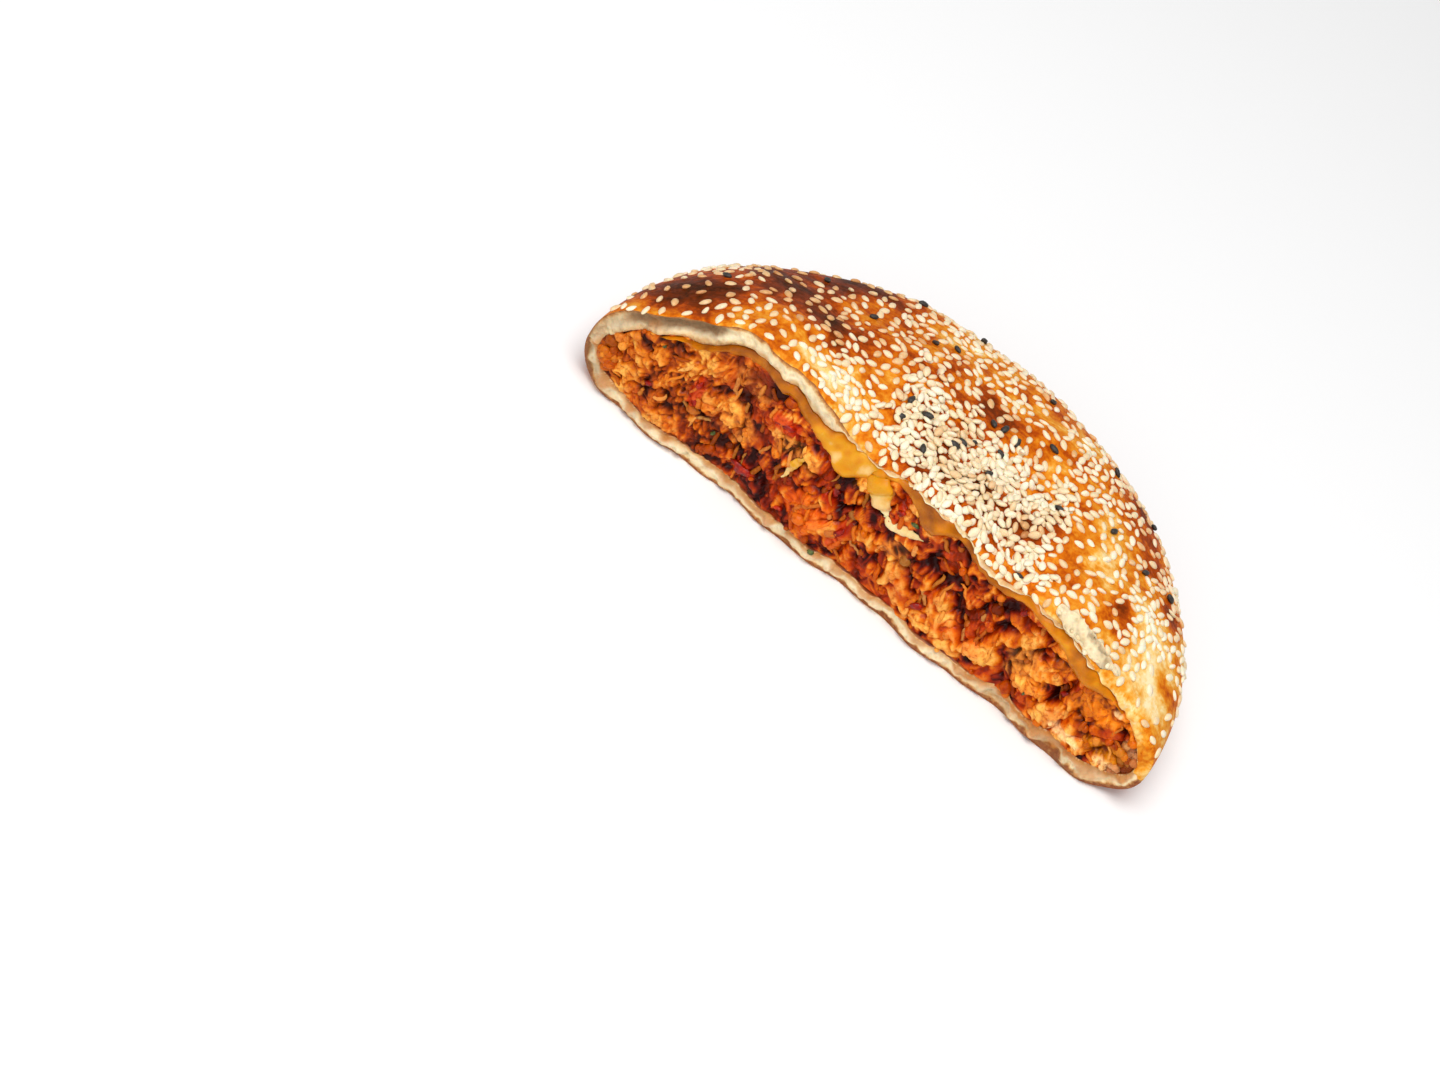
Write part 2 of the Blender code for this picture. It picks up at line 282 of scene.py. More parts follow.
def makePiece(name, points, faces, materials, looks=None, kinds=None, merge=True):
    # writes whole arrays into a mesh: points in millimetres, an array of faces for each number of
    # corners, and what each point looks like, as one number or as a colour
    mesh = bpy.data.meshes.new(name)
    place = points.reshape(-1, 3) + np.array([0.0, cutY, 0.0])
    corners = np.concatenate([np.full(len(part), part.shape[1]) for part in faces])
    mesh.vertices.add(len(place))
    mesh.vertices.foreach_set("co", (place * mm).ravel())
    mesh.loops.add(int(corners.sum()))
    mesh.loops.foreach_set("vertex_index", np.concatenate([part.ravel() for part in faces]))
    mesh.polygons.add(len(corners))
    mesh.polygons.foreach_set("loop_start", np.cumsum(corners) - corners)
    for material in materials:
        mesh.materials.append(material)
    if kinds is not None:
        mesh.polygons.foreach_set("material_index", kinds)
    mesh.update(calc_edges=True)
    for label, values in (looks or {}).items():
        if values.ndim > 1 and values.shape[-1] == 3:
            layer = mesh.attributes.new(label, "FLOAT_COLOR", "POINT")
            full = np.concatenate([values.reshape(-1, 3), np.ones((len(place), 1))], axis=1)
            layer.data.foreach_set("color", full.ravel())
        else:
            layer = mesh.attributes.new(label, "FLOAT", "POINT")
            layer.data.foreach_set("value", values.ravel())
    shell = bmesh.new()
    shell.from_mesh(mesh)
    if merge:
        bmesh.ops.remove_doubles(shell, verts=shell.verts, dist=mergeWithin * mm)
    bmesh.ops.recalc_face_normals(shell, faces=shell.faces)
    shell.to_mesh(mesh)
    shell.free()
    mesh.polygons.foreach_set("use_smooth", np.ones(len(mesh.polygons), dtype=bool))
    piece = bpy.data.objects.new(name, mesh)
    bpy.context.scene.collection.objects.link(piece)
    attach(piece, "root")
    print(f"{name}: {len(mesh.polygons)} faces")
    return piece


def makeShapes(name, shapes, faces, material, looks=None):
    # many copies of one shape in one mesh, as (copies, points, 3). A look is given for each copy,
    # or for each point of each copy
    copies, count = shapes.shape[:2]
    first = (np.arange(copies) * count)[:, None, None]
    spread = {}
    for label, values in (looks or {}).items():
        values = np.asarray(values, dtype=float)
        spread[label] = values if values.shape == (copies, count) else np.repeat(values, count, axis=0)
    faces = [(part + first).reshape(-1, part.shape[1]) for part in faces]
    makePiece(name, shapes, faces, [material], spread, merge=False)


def capped(rings, sides):
    # the faces of a shape whose points are a pole, rings of so many sides and another pole: quads
    # between the rings, and triangles round both poles
    side = np.arange(sides)
    following = (side + 1) % sides
    last = 1 + (rings - 1) * sides
    top = np.stack([0 * side, 1 + side, 1 + following], axis=-1)
    bottom = np.stack([last + side, last + sides + 0 * side, last + following], axis=-1)
    return gridFaces(rings, sides, 1, closed=True), np.concatenate([top, bottom])


def setInputs(node, inputs):
    # an input is a value, or a socket that is linked to it
    for key, value in inputs.items():
        if isinstance(value, bpy.types.NodeSocket):
            node.id_data.links.new(value, node.inputs[key])
        else:
            node.inputs[key].default_value = value


def addNode(tree, kind, inputs=None, stops=(), output=0, **settings):
    # one node with its settings, links and colour stops. Gives the output that is used
    node = tree.nodes.new("ShaderNode" + kind)
    for key, value in settings.items():
        setattr(node, key, value)
    setInputs(node, inputs or {})
    elements = node.color_ramp.elements if stops else []
    while len(elements) < len(stops):
        elements.new(0.5)
    for element, (place, colour) in zip(elements, stops):
        element.position = place
        element.color = rgba(colour)
    return node.outputs[output]


def newMaterial(name):
    # an empty material: gives it, what adds a node to it, its object coordinates and its shader
    made = bpy.data.materials.new(name)
    made.use_nodes = True
    add = functools.partial(addNode, made.node_tree)
    return made, add, add("TexCoord", output="Object"), made.node_tree.nodes["Principled BSDF"]


def perMillimetre(size):
    # a noise or cell texture's scale for features of that size in millimetres
    return 1.0 / (size * mm)


# Materials


def bakedCrust():
    # wheat crust, egg-washed and baked on stone: satin brown with golden and scorched patches and
    # a fine pebbled skin
    made, add, place, shader = newMaterial("baked wheat crust")
    bake = add("Attribute", output="Fac", attribute_name="bake")
    patches = add("TexNoise", {"Vector": place, "Scale": perMillimetre(5.0), "Detail": 3.0,
                               "Roughness": 0.55, "Distortion": 0.4})
    specks = add("TexNoise", {"Vector": place, "Scale": perMillimetre(1.3), "Detail": 3.0, "Roughness": 0.6})
    pebbles = add("TexNoise", {"Vector": place, "Scale": perMillimetre(0.7), "Detail": 2.0})
    mottled = add("Math", {0: patches, 1: 0.7, 2: -0.35}, operation="MULTIPLY_ADD")
    speckled = add("Math", {0: specks, 1: 0.4, 2: -0.2}, operation="MULTIPLY_ADD")
    broken = add("Math", {0: bake, 1: mottled}, operation="ADD")
    total = add("Math", {0: broken, 1: speckled}, operation="ADD")
    colour = add("ValToRGB", {"Fac": total}, (
        (0.0, "#f7e2b2"), (0.13, "#f3c878"), (0.27, "#e89a2c"), (0.41, "#d6700c"), (0.55, "#b04606"),
        (0.7, "#7a2e04"), (0.95, "#401c05")))
    gloss = add("MapRange", {"Value": specks, "To Min": 0.4, "To Max": 0.65})
    coarse = add("Bump", {"Height": specks, "Strength": 0.5, "Distance": 0.35 * mm})
    fine = add("Bump", {"Height": pebbles, "Strength": 0.4, "Distance": 0.16 * mm, "Normal": coarse})
    setInputs(shader, {"Base Color": colour, "Roughness": gloss, "Normal": fine, "IOR": 1.4,
                       "Specular IOR Level": 0.06, "Subsurface Weight": 0.04, "Subsurface Scale": 0.0015})
    return made


def breadCrumb():
    # soft white crumb, torn by the knife: matt cream with small pores darkened as painted shade, brown just
    # under the crust, stained orange beside the filling, and darkened with painted shade where crumbShade is
    # high
    made, add, place, shader = newMaterial("wheat bread crumb")
    depth = add("Attribute", output="Fac", attribute_name="crumbDepth")
    shade = add("Attribute", output="Fac", attribute_name="crumbShade")
    stain = add("Attribute", output="Fac", attribute_name="crumbStain")
    cells = add("TexVoronoi", {"Vector": place, "Scale": perMillimetre(1.5)}, feature="F1")
    fibres = add("TexNoise", {"Vector": place, "Scale": perMillimetre(1.0), "Detail": 4.0, "Roughness": 0.65})
    clouds = add("TexNoise", {"Vector": place, "Scale": perMillimetre(6.0), "Detail": 2.0})
    wander = add("Math", {0: fibres, 1: 0.24, 2: -0.12}, operation="MULTIPLY_ADD")
    through = add("Math", {0: depth, 1: wander}, operation="ADD")
    layered = add("ValToRGB", {"Fac": through}, (
        (0.0, "#8a4414"), (0.1, "#cf9450"), (0.22, "#f1dcae"), (0.6, "#f8ebcb"), (0.85, "#efcb8e"),
        (1.0, "#d98a35")))
    # the clouds leave the brown edge alone
    cloudiness = add("MapRange", {"Value": through, "From Min": 0.06, "From Max": 0.3, "To Max": clouds})
    # painted shade: the pores' pits are darkened
    poreShade = add("MapRange", {"Value": cells, "From Max": 0.42, "To Min": 0.45, "To Max": 0.0})
    colour = layered
    over = ((cloudiness, "#ecd3a2"), (poreShade, "#c99a5c"), (shade, "#86603a"), (stain, "#bd7424"))
    for share, laidOver in over:
        colour = add("Mix", {0: share, 6: colour, 7: rgba(laidOver)}, output=2, data_type="RGBA")
    rough = add("Bump", {"Height": cells, "Strength": 0.7, "Distance": 0.5 * mm})
    torn = add("Bump", {"Height": fibres, "Strength": 0.7, "Distance": 0.5 * mm, "Normal": rough})
    setInputs(shader, {"Base Color": colour, "Roughness": 0.8, "Normal": torn, "Subsurface Weight": 0.15,
                       "Subsurface Scale": 0.002})
    return made


def meltedCheese():
    # melted hard cheese, set again: smooth, fatty and a little see-through, yellow where it is
    # thick and orange-brown where tomato soaked in; its tone holds a painted highlight half way up
    made, add, place, shader = newMaterial("melted cheese")
    tone = add("Attribute", output="Fac", attribute_name="cheeseTone")
    streaks = add("TexNoise", {"Vector": place, "Scale": perMillimetre(3.5), "Detail": 3.0,
                               "Distortion": 0.8})
    fat = add("TexNoise", {"Vector": place, "Scale": perMillimetre(1.2), "Detail": 2.0})
    drift = add("Math", {0: streaks, 1: 0.3, 2: -0.15}, operation="MULTIPLY_ADD")
    total = add("Math", {0: tone, 1: drift}, operation="ADD")
    colour = add("ValToRGB", {"Fac": total}, (
        (0.0, "#6c3002"), (0.25, "#a65a02"), (0.5, "#cf7a04"), (0.72, "#dd9a1a"), (1.0, "#f6e0a6")))
    gloss = add("MapRange", {"Value": fat, "To Min": 0.18, "To Max": 0.4})
    soft = add("Bump", {"Height": streaks, "Strength": 0.35, "Distance": 0.6 * mm})
    setInputs(shader, {"Base Color": colour, "Roughness": gloss, "Normal": soft, "IOR": 1.46,
                       "Subsurface Weight": 0.2, "Subsurface Scale": 0.002, "Specular IOR Level": 0.15,
                       "Coat Weight": 0.08, "Coat Roughness": 0.12})
    return made


def eggAndTomato():
    # egg curd stewed in tomato: every curd has its own orange, moist rather than shiny; its tint
    # holds painted shade in the red-brown hollows and painted highlight on the curds' tops
    made, add, place, shader = newMaterial("egg and tomato curd")
    tint = add("Attribute", output="Color", attribute_name="tint")
    flecks = add("TexNoise", {"Vector": place, "Scale": perMillimetre(1.1), "Detail": 4.0, "Roughness": 0.6})
    grain = add("TexNoise", {"Vector": place, "Scale": perMillimetre(0.6), "Detail": 2.0})
    fleck = add("ValToRGB", {"Fac": flecks}, ((0.28, "#b87840"), (0.46, "#f6e6c8"), (0.65, "#ffffff")))
    colour = add("Mix", {0: 0.85, 6: tint, 7: fleck}, output=2, data_type="RGBA", blend_type="MULTIPLY")
    gloss = add("MapRange", {"Value": grain, "To Min": 0.25, "To Max": 0.5})
    coarse = add("Bump", {"Height": flecks, "Strength": 0.36, "Distance": 0.4 * mm})
    fine = add("Bump", {"Height": grain, "Strength": 0.18, "Distance": 0.2 * mm, "Normal": coarse})
    setInputs(shader, {"Base Color": colour, "Roughness": gloss, "Normal": fine, "IOR": 1.4,
                       "Specular IOR Level": 0.06, "Subsurface Weight": 0.12, "Subsurface Scale": 0.001,
                       "Coat Weight": 0.14, "Coat Roughness": 0.08})
    return made


def hulledSesame():
    # hulled sesame, toasted on the crust: waxy ivory to tan, each seed its own tone, darker with toast and
    # painted shade
    made, add, place, shader = newMaterial("toasted hulled sesame")
    toastAndShade = add("Attribute", output="Fac", attribute_name="toastAndShade")
    mottle = add("TexNoise", {"Vector": place, "Scale": perMillimetre(0.9), "Detail": 2.0})
    drift = add("Math", {0: mottle, 1: 0.3, 2: -0.15}, operation="MULTIPLY_ADD")
    total = add("Math", {0: toastAndShade, 1: drift}, operation="ADD")
    colour = add("ValToRGB", {"Fac": total}, (
        (0.0, "#f8ebd0"), (0.35, "#efd5aa"), (0.6, "#e0ac70"), (0.85, "#c4844c"), (1.0, "#9e6236")))
    soft = add("Bump", {"Height": mottle, "Strength": 0.25, "Distance": 0.15 * mm})
    setInputs(shader, {"Base Color": colour, "Roughness": 0.42, "Normal": soft, "IOR": 1.46,
                       "Subsurface Weight": 0.2, "Subsurface Scale": 0.001})
    return made


def plainFinish(name, pattern, size, detail, stops, strength, distance, gloss, values):
    # one pattern gives colour, relief and gloss: its size and the relief's height in millimetres,
    # and the gloss as the lowest and highest roughness
    made, add, place, shader = newMaterial(name)
    spread = add(pattern, {"Vector": place, "Scale": perMillimetre(size), "Detail": detail})
    colour = add("ValToRGB", {"Fac": spread}, stops)
    relief = add("Bump", {"Height": spread, "Strength": strength, "Distance": distance * mm})
    low, high = gloss
    rough = add("MapRange", {"Value": spread, "To Min": low, "To Max": high}) if high > low else low
    setInputs(shader, {"Base Color": colour, "Roughness": rough, "Normal": relief, **values})
    return made


def soakedCrumb():
    # the inside of the pocket: crumb soaked with tomato and butter, dark orange and a little wet
    return plainFinish("soaked crumb", "TexNoise", 3.0, 3.0,
                       ((0.3, "#7a3210"), (0.55, "#b8621f"), (0.75, "#d99c4c")), 0.5, 0.5, (0.35, 0.6),
                       {"Coat Weight": 0.15, "Coat Roughness": 0.25})


def blackSeedHull():
    # black seed: dull charcoal hull with a netted surface
    return plainFinish("black seed hull", "TexVoronoi", 0.45, 0.0, ((0.0, "#14110f"), (0.7, "#3a342e")),
                       0.5, 0.1, (0.55, 0.55), {})


def stewedTomato():
    # stewed tomato skin and flesh: deep red and moist
    return plainFinish("stewed tomato", "TexNoise", 1.6, 3.0,
                       ((0.3, "#5a0800"), (0.55, "#9c1402"), (0.75, "#d23c08")), 0.5, 0.3, (0.2, 0.4),
                       {"Specular IOR Level": 0.15, "Subsurface Weight": 0.1, "Subsurface Scale": 0.001,
                        "Coat Weight": 0.15, "Coat Roughness": 0.08})


def cookedHerb():
    # chopped parsley, cooked dark green
    return plainFinish("cooked parsley", "TexNoise", 0.8, 2.0, ((0.35, "#26300f"), (0.65, "#5c6a24")),
                       0.4, 0.15, (0.45, 0.45), {})


# The bread

bread = {
    "stations": 400,
    "topRows": 112,
    "baseRows": 34,
    "crumbRows": 11,
    "liningRows": 16,
    "wrapped": 61.0,  # past this place along the cut the skin covers the edge of the crumb
    "crumbSwell": 0.6,  # how far the crumb stands out of the cut
    # the fold is pressed in, and its darkness is painted shade
    "fold": (-80.0, -60.0, 2.6),  # a dark fold between skin and crumb: start, end and depth
    # hollows in the crumb that oil has stained: place, height, half widths and depth
    "hollows": ((72.0, 7.0, 9.0, 2.4, 1.0), (52.0, 3.6, 8.0, 1.6, 0.5), (-85.5, 19.0, 1.2, 4.5, 0.5)),
    "bake": 0.4,  # how brown the skin is on the whole: 0 is raw, 1 is scorched
    # patches of the skin: place along and behind the cut, half widths, and how much browner
    "patches": (
        (-60, 44, 12, 26, 0.40), (-42, 60, 10, 12, 0.3), (-76, 14, 11, 12, 0.42), (-42, 29, 14, 9, 0.26),
        (8, 45, 9, 6, 0.32), (-10, 42, 10, 8, 0.10), (55, 46, 7, 9, 0.20), (57, 17, 4, 5, 0.3),
        (-35, 17, 5, 4, 0.16), (-50, 5, 5, 4, 0.14), (27, 14, 3, 8, 0.12), (31, 29, 3, 4, 0.22),
        (62, 11, 3, 3, 0.24), (78, 14, 3, 3, 0.4), (79, 27, 3, 3, 0.12), (5, 35, 4, 4, 0.14),
        # the browner patch at 8, 14 under the piled seeds is painted shade between them
        (8, 14, 20, 12, 0.38), (72, 8, 14, 16, -0.31), (45, 20, 8, 11, -0.16), (66, 24, 6, 6, -0.16),
        (-36, 7, 11, 5, -0.3), (70, 36, 4, 6, 0.26), (48, 60, 8, 5, 0.2), (84, 14, 4, 12, 0.12),
        (16, 58, 6, 5, -0.10), (-14, 66, 10, 10, -0.10), (30, 58, 12, 8, -0.08),
        (-52, 12, 7, 6, -0.08), (-18, 6, 12, 6, -0.16), (77, 36, 7, 14, -0.12),
    ),
}


def browning(x, y):
    # the sum of the named patches and two clouds of noise, before the material's own specks
    clouds = layers(flat(x, y), (0.1, 13.0, 11), (0.12, 6.0, 12))
    return np.clip(bread["bake"] + clouds + patchwork(bread["patches"], x, y), 0.02, 0.95)


def crumbRing(x, xIn, outer, inner, upper):
    # the torn crumb between the skin's cut edge and the pocket's: it swells out of the cut, less
    # the fold and the hollows. Gives its points, how deep and stained it is, and its painted shade
    share = np.linspace(0.0, 1.0, bread["crumbRows"])[:, None]
    across = x + (xIn - x) * share
    z = outer + (inner - outer) * share
    spot = flat(across, 0.0, z)
    # the lower ring rises gently from the base, so that its browned edge shows
    fade = np.clip(np.sin(math.pi * share), 0.0, 1.0) ** (0.35 if upper else 0.95)
    rough = bread["crumbSwell"] + layers(spot, (0.6, 5.0, 17), (0.85, 2.4, 13), (0.6, 1.1, 14))
    start, end, deep = bread["fold"]
    fold = deep * band(across, start, end, 3.0) * bump(share, 0.32, 0.22) if upper else 0.0 * z
    hollow = patchwork(bread["hollows"], across, z)
    start, most = (0.5, 0.35) if upper else (0.42, 0.75)
    oily = smoothStep(share + 0.4 * noise(spot, 3.0, 26), start, start + 0.45) * most
    stain = np.clip(0.6 * hollow + 0.2 * noise(spot, 3.0, 16) + oily, 0.0, 0.9)
    # the base is browned deeper, most in spots towards the right, and greyed there with painted shade
    spots = smoothStep(across, -10.0, 30.0) * np.clip(noise(spot, 3.4, 30) + 0.15, 0.0, 1.0)
    browned = 0.0 if upper else 0.24 + 0.16 * noise(spot, 4.5, 18) + 0.7 * spots
    depth = np.clip(share - browned * (1.0 - share) + 0.0 * z, 0.0, 1.0)
    greyShade = 0.0 if upper else 0.28 * smoothStep(across, 30.0, 60.0) * (0.35 + 1.5 * noise(spot, 3.0, 39))
    tips = (0.5 + 0.3 * noise(spot, 2.0, 27)) * band(across, -95.0, -76.0, 6.0) * (1.0 - 0.6 * share)
    creaseShade = 0.3 * np.clip(-noise(spot, 1.6, 28) - 0.25, 0.0, 1.0)
    creaseShade = creaseShade + 0.12 * np.clip(noise(spot, 4.5, 29), 0.0, 1.0)
    # painted shade darkens the fold and the creases and greys the base's right; the left tip is also made
    # greyer
    shade = np.clip(fold * 0.9 + tips + creaseShade + greyShade, 0.0, 0.9)
    return layCut(across, -(rough - fold - hollow) * fade, z), depth, stain, shade


def makeBread(crumb):
    # sheets that share their edges: the skin from the base's cut edge round the rim to the top's,
    # the crumb between the skin's cut edge and the pocket's, and the pocket's own lining
    turn = np.linspace(-0.5 * math.pi, 0.5 * math.pi, bread["stations"])
    x, half = pie["tipReach"] * np.sin(turn), pie["depth"] * np.abs(np.cos(turn))
    xIn = pie["pocketX"] + pie["pocketReach"] * np.sin(turn)
    halfIn = (pie["depth"] - pie["rimBread"]) * np.abs(np.cos(turn))
    baseShare = np.linspace(0.0, 1.0, bread["baseRows"])[:, None]
    topShare = np.linspace(1.0, 0.0, bread["topRows"])[1:, None]
    liningShare = np.linspace(0.0, 1.0, bread["liningRows"])[:, None]
    yBase = half * np.sin(0.5 * math.pi * baseShare)
    yTop = half * np.sin(0.5 * math.pi * topShare**1.25)
    yIn = halfIn * np.sin(0.5 * math.pi * liningShare)
    skin = np.concatenate([surface(crustBottom, x, yBase), surface(skinTop, x, yTop)])
    upper = crumbRing(x, xIn, skinTop(x, 0 * x), pocketRoof(xIn, 0 * x), True)
    lower = crumbRing(x, xIn, crustBottom(x, 0 * x), pocketFloor(xIn, 0 * x), False)
    lining = np.concatenate([surface(pocketRoof, xIn, yIn), surface(pocketFloor, xIn, yIn)[::-1][1:]])

    sheets = [skin, upper[0], lower[0], lining]
    faces = []
    kinds = []
    start = 0
    for sheet, kind in zip(sheets, (0, 1, 1, 2)):
        rows, columns = sheet.shape[:2]
        faces.append(gridFaces(rows, columns, start))
        kinds.append(np.full(len(faces[-1]), kind))
        start += rows * columns
    # towards the right tip the skin is drawn over the crumb
    kinds[1] = np.where(upper[0][:-1, :-1, 0].ravel() > bread["wrapped"], 0, 1)

    under = 0.6 + 0.12 * noise(flat(x, yBase, 2.0), 8.0, 15)
    under = under + (browning(x, half) - under) * smoothStep(baseShare, 0.55, 1.0)
    back = np.concatenate([under, browning(x + 0 * yTop, yTop)])
    drawnOver = np.clip(browning(upper[0][..., 0], 1.0) - 0.1, 0.02, 0.95)
    looks = {
        "bake": (back, drawnOver, 0.0, 0.0),
        "crumbDepth": (0.0, upper[1], lower[1], 1.0),
        "crumbStain": (0.0, upper[2], lower[2], 0.0),
        "crumbShade": (0.0, upper[3], lower[3], 0.0),
    }
    for label, values in looks.items():
        full = [np.broadcast_to(value, sheet.shape[:2]).ravel() for value, sheet in zip(values, sheets)]
        looks[label] = np.concatenate(full)
    points = np.concatenate([sheet.reshape(-1, 3) for sheet in sheets])
    finishes = [bakedCrust(), crumb, soakedCrumb()]
    made = makePiece("bread_crust_and_crumb", points, faces, finishes, looks,
                     np.concatenate(kinds))
    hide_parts("bread")


# The melted cheese

cheese = {
    "thickness": 1.9,
    # thick places at the cut: place, extra thickness and width
    "drips": ((-17.0, 7.2, 7.5), (8.0, 5.2, 7.0), (60.0, 8.0, 12.0), (-50.0, 2.2, 13.0), (-34.0, 2.0, 8.0),
              (33.0, 1.2, 6.0)),
    "dripReach": 22.0,
    "bulges": ((-16.0, 1.0, 9.0), (57.0, 0.7, 14.0), (7.0, 0.6, 8.0)),  # place, how much and width
    "stations": 300,
    "frontRows": 22,
    "inset": 11.0,  # how far it stays inside the pocket's rim
    "gap": 0.12,  # to the roof, so that the two surfaces don't touch
    # how yellow it is along the cut: 0 is brown-orange, 1 is pale yellow
    "tonePlaces": (-80, -60, -40, -28, -21, -12, -6, 0, 14, 30, 42, 60, 74),
    "tones": (0.4, 0.24, 0.34, 0.42, 0.6, 0.66, 0.52, 0.34, 0.24, 0.28, 0.4, 0.42, 0.46),
}


def cheeseTop(x, y):
    # the pocket's roof less a small gap, which grows towards the pocket's rim
    return pocketRoof(x, y) - cheese["gap"] * (1.2 + 2.0 * inPocket(x, y) ** 4)


def cheeseBottom(x, y):
    # the top less a thickness that grows at the drips and thins out towards the pocket's rim
    drips = alongCut(cheese["drips"], x)
    ends = np.clip(7.0 - 7.0 * np.abs(x - pie["pocketX"]) / (pie["pocketReach"] - cheese["inset"]), 0.1, 1.0)
    share = np.clip(1.25 - inPocket(x, y), 0.25, 1.0) * ends
    ragged = 0.7 * noise(flat(x, 0.0 * y, 21.0), 3.4, 23) + 0.4 * noise(flat(x, 0.0 * y, 22.0), 1.3, 24)
    extra = (drips + ragged * bump(y, 0.0, 4.0)) * bump(y, 0.0, cheese["dripReach"])
    thick = cheese["thickness"] + extra
    return cheeseTop(x, y) - thick * share


def loop(x, half, top, bottom, frontRows, backRows, relief):
    # closed outlines across the pie: up the cut with its relief, back over the top to the rim, and
    # forward underneath to where they began
    share = np.linspace(0.0, 1.0, frontRows)[:, None]
    low, high = bottom(x, 0 * x), top(x, 0 * x)
    z = low + (high - low) * share
    out, upwards = relief(x + 0 * z, z, share + 0 * z)
    front = layCut(x, -out, z + upwards)
    backShare = np.linspace(0.0, 1.0, backRows)[1:, None]
    over = surface(top, x, half * np.sin(0.5 * math.pi * backShare**1.4))
    under = surface(bottom, x, half * np.sin(0.5 * math.pi * backShare[::-1][1:]))
    return np.concatenate([front, over, under, front[:1]])


def makeLoop(name, points, finish, looks):
    # a piece from closed outlines, with its small flat ends filled
    piece = makePiece(name, points, [gridFaces(*points.shape[:2])], [finish], looks)
    shell = bmesh.new()
    shell.from_mesh(piece.data)
    bmesh.ops.holes_fill(shell, edges=[edge for edge in shell.edges if edge.is_boundary], sides=0)
    bmesh.ops.triangulate(shell, faces=[face for face in shell.faces if len(face.verts) > 4])
    bmesh.ops.recalc_face_normals(shell, faces=shell.faces)
    shell.to_mesh(piece.data)
    shell.free()
    return piece


def stationsAcross(reach, count, evenness):
    # places along the cut, evenly spread but for a share that crowds towards the tips
    share = np.linspace(-1.0, 1.0, count) * 0.9999
    return pie["pocketX"] + reach * (evenness * share + (1.0 - evenness) * np.sin(0.5 * math.pi * share))


def halfDepth(x, reach, inset):
    # how far back the pocket reaches there: an ellipse that is smaller by the inset
    return (pie["depth"] - pie["rimBread"] - inset) * np.sqrt(1.0 - ((x - pie["pocketX"]) / reach) ** 2)


def cheeseRelief(x, z, share):
    # a smooth bulge that hangs forward over the filling where the cheese is thick. Gives how far it
    # stands out of the cut, and how far it is lifted, which is less than 0 where it sags
    thick = alongCut(cheese["bulges"], x)
    fade = np.clip(np.sin(math.pi * share), 0.0, 1.0) ** 0.45
    out = (0.8 + 1.1 * thick + layers(flat(x, 0.0, z), (0.8, 6.0, 20), (0.45, 2.5, 21))) * fade
    return out, -0.5 * thick * fade


def cheeseColour(x, z):
    # read off along the cut, with painted highlight half way up and painted shade at its edges, and two
    # clouds of noise
    low, high = cheeseBottom(x, 0 * x), cheeseTop(x, 0 * x)
    middle = np.clip(1.0 - np.abs(2.0 * (z - low) / np.maximum(high - low, 0.5) - 1.0), 0.0, 1.0)
    cloudy = layers(flat(x, 0.0, z), (0.14, 4.0, 22), (0.12, 1.6, 25))
    return np.interp(x, cheese["tonePlaces"], cheese["tones"]) + cloudy + 0.12 * (middle - 0.5)


def makeCheese(finish):
    # the layer between the pocket's roof and the filling, as closed outlines
    reach = pie["pocketReach"] - cheese["inset"]
    x = stationsAcross(reach, cheese["stations"], 0.6)
    half = halfDepth(x, reach, cheese["inset"])
    points = loop(x, half, cheeseTop, cheeseBottom, cheese["frontRows"], 15, cheeseRelief)
    looks = {"cheeseTone": cheeseColour(points[..., 0], points[..., 2])}
    made = makeLoop("melted_cheese_layer", points, finish, looks)
    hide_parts("melted_cheese")


# The filling

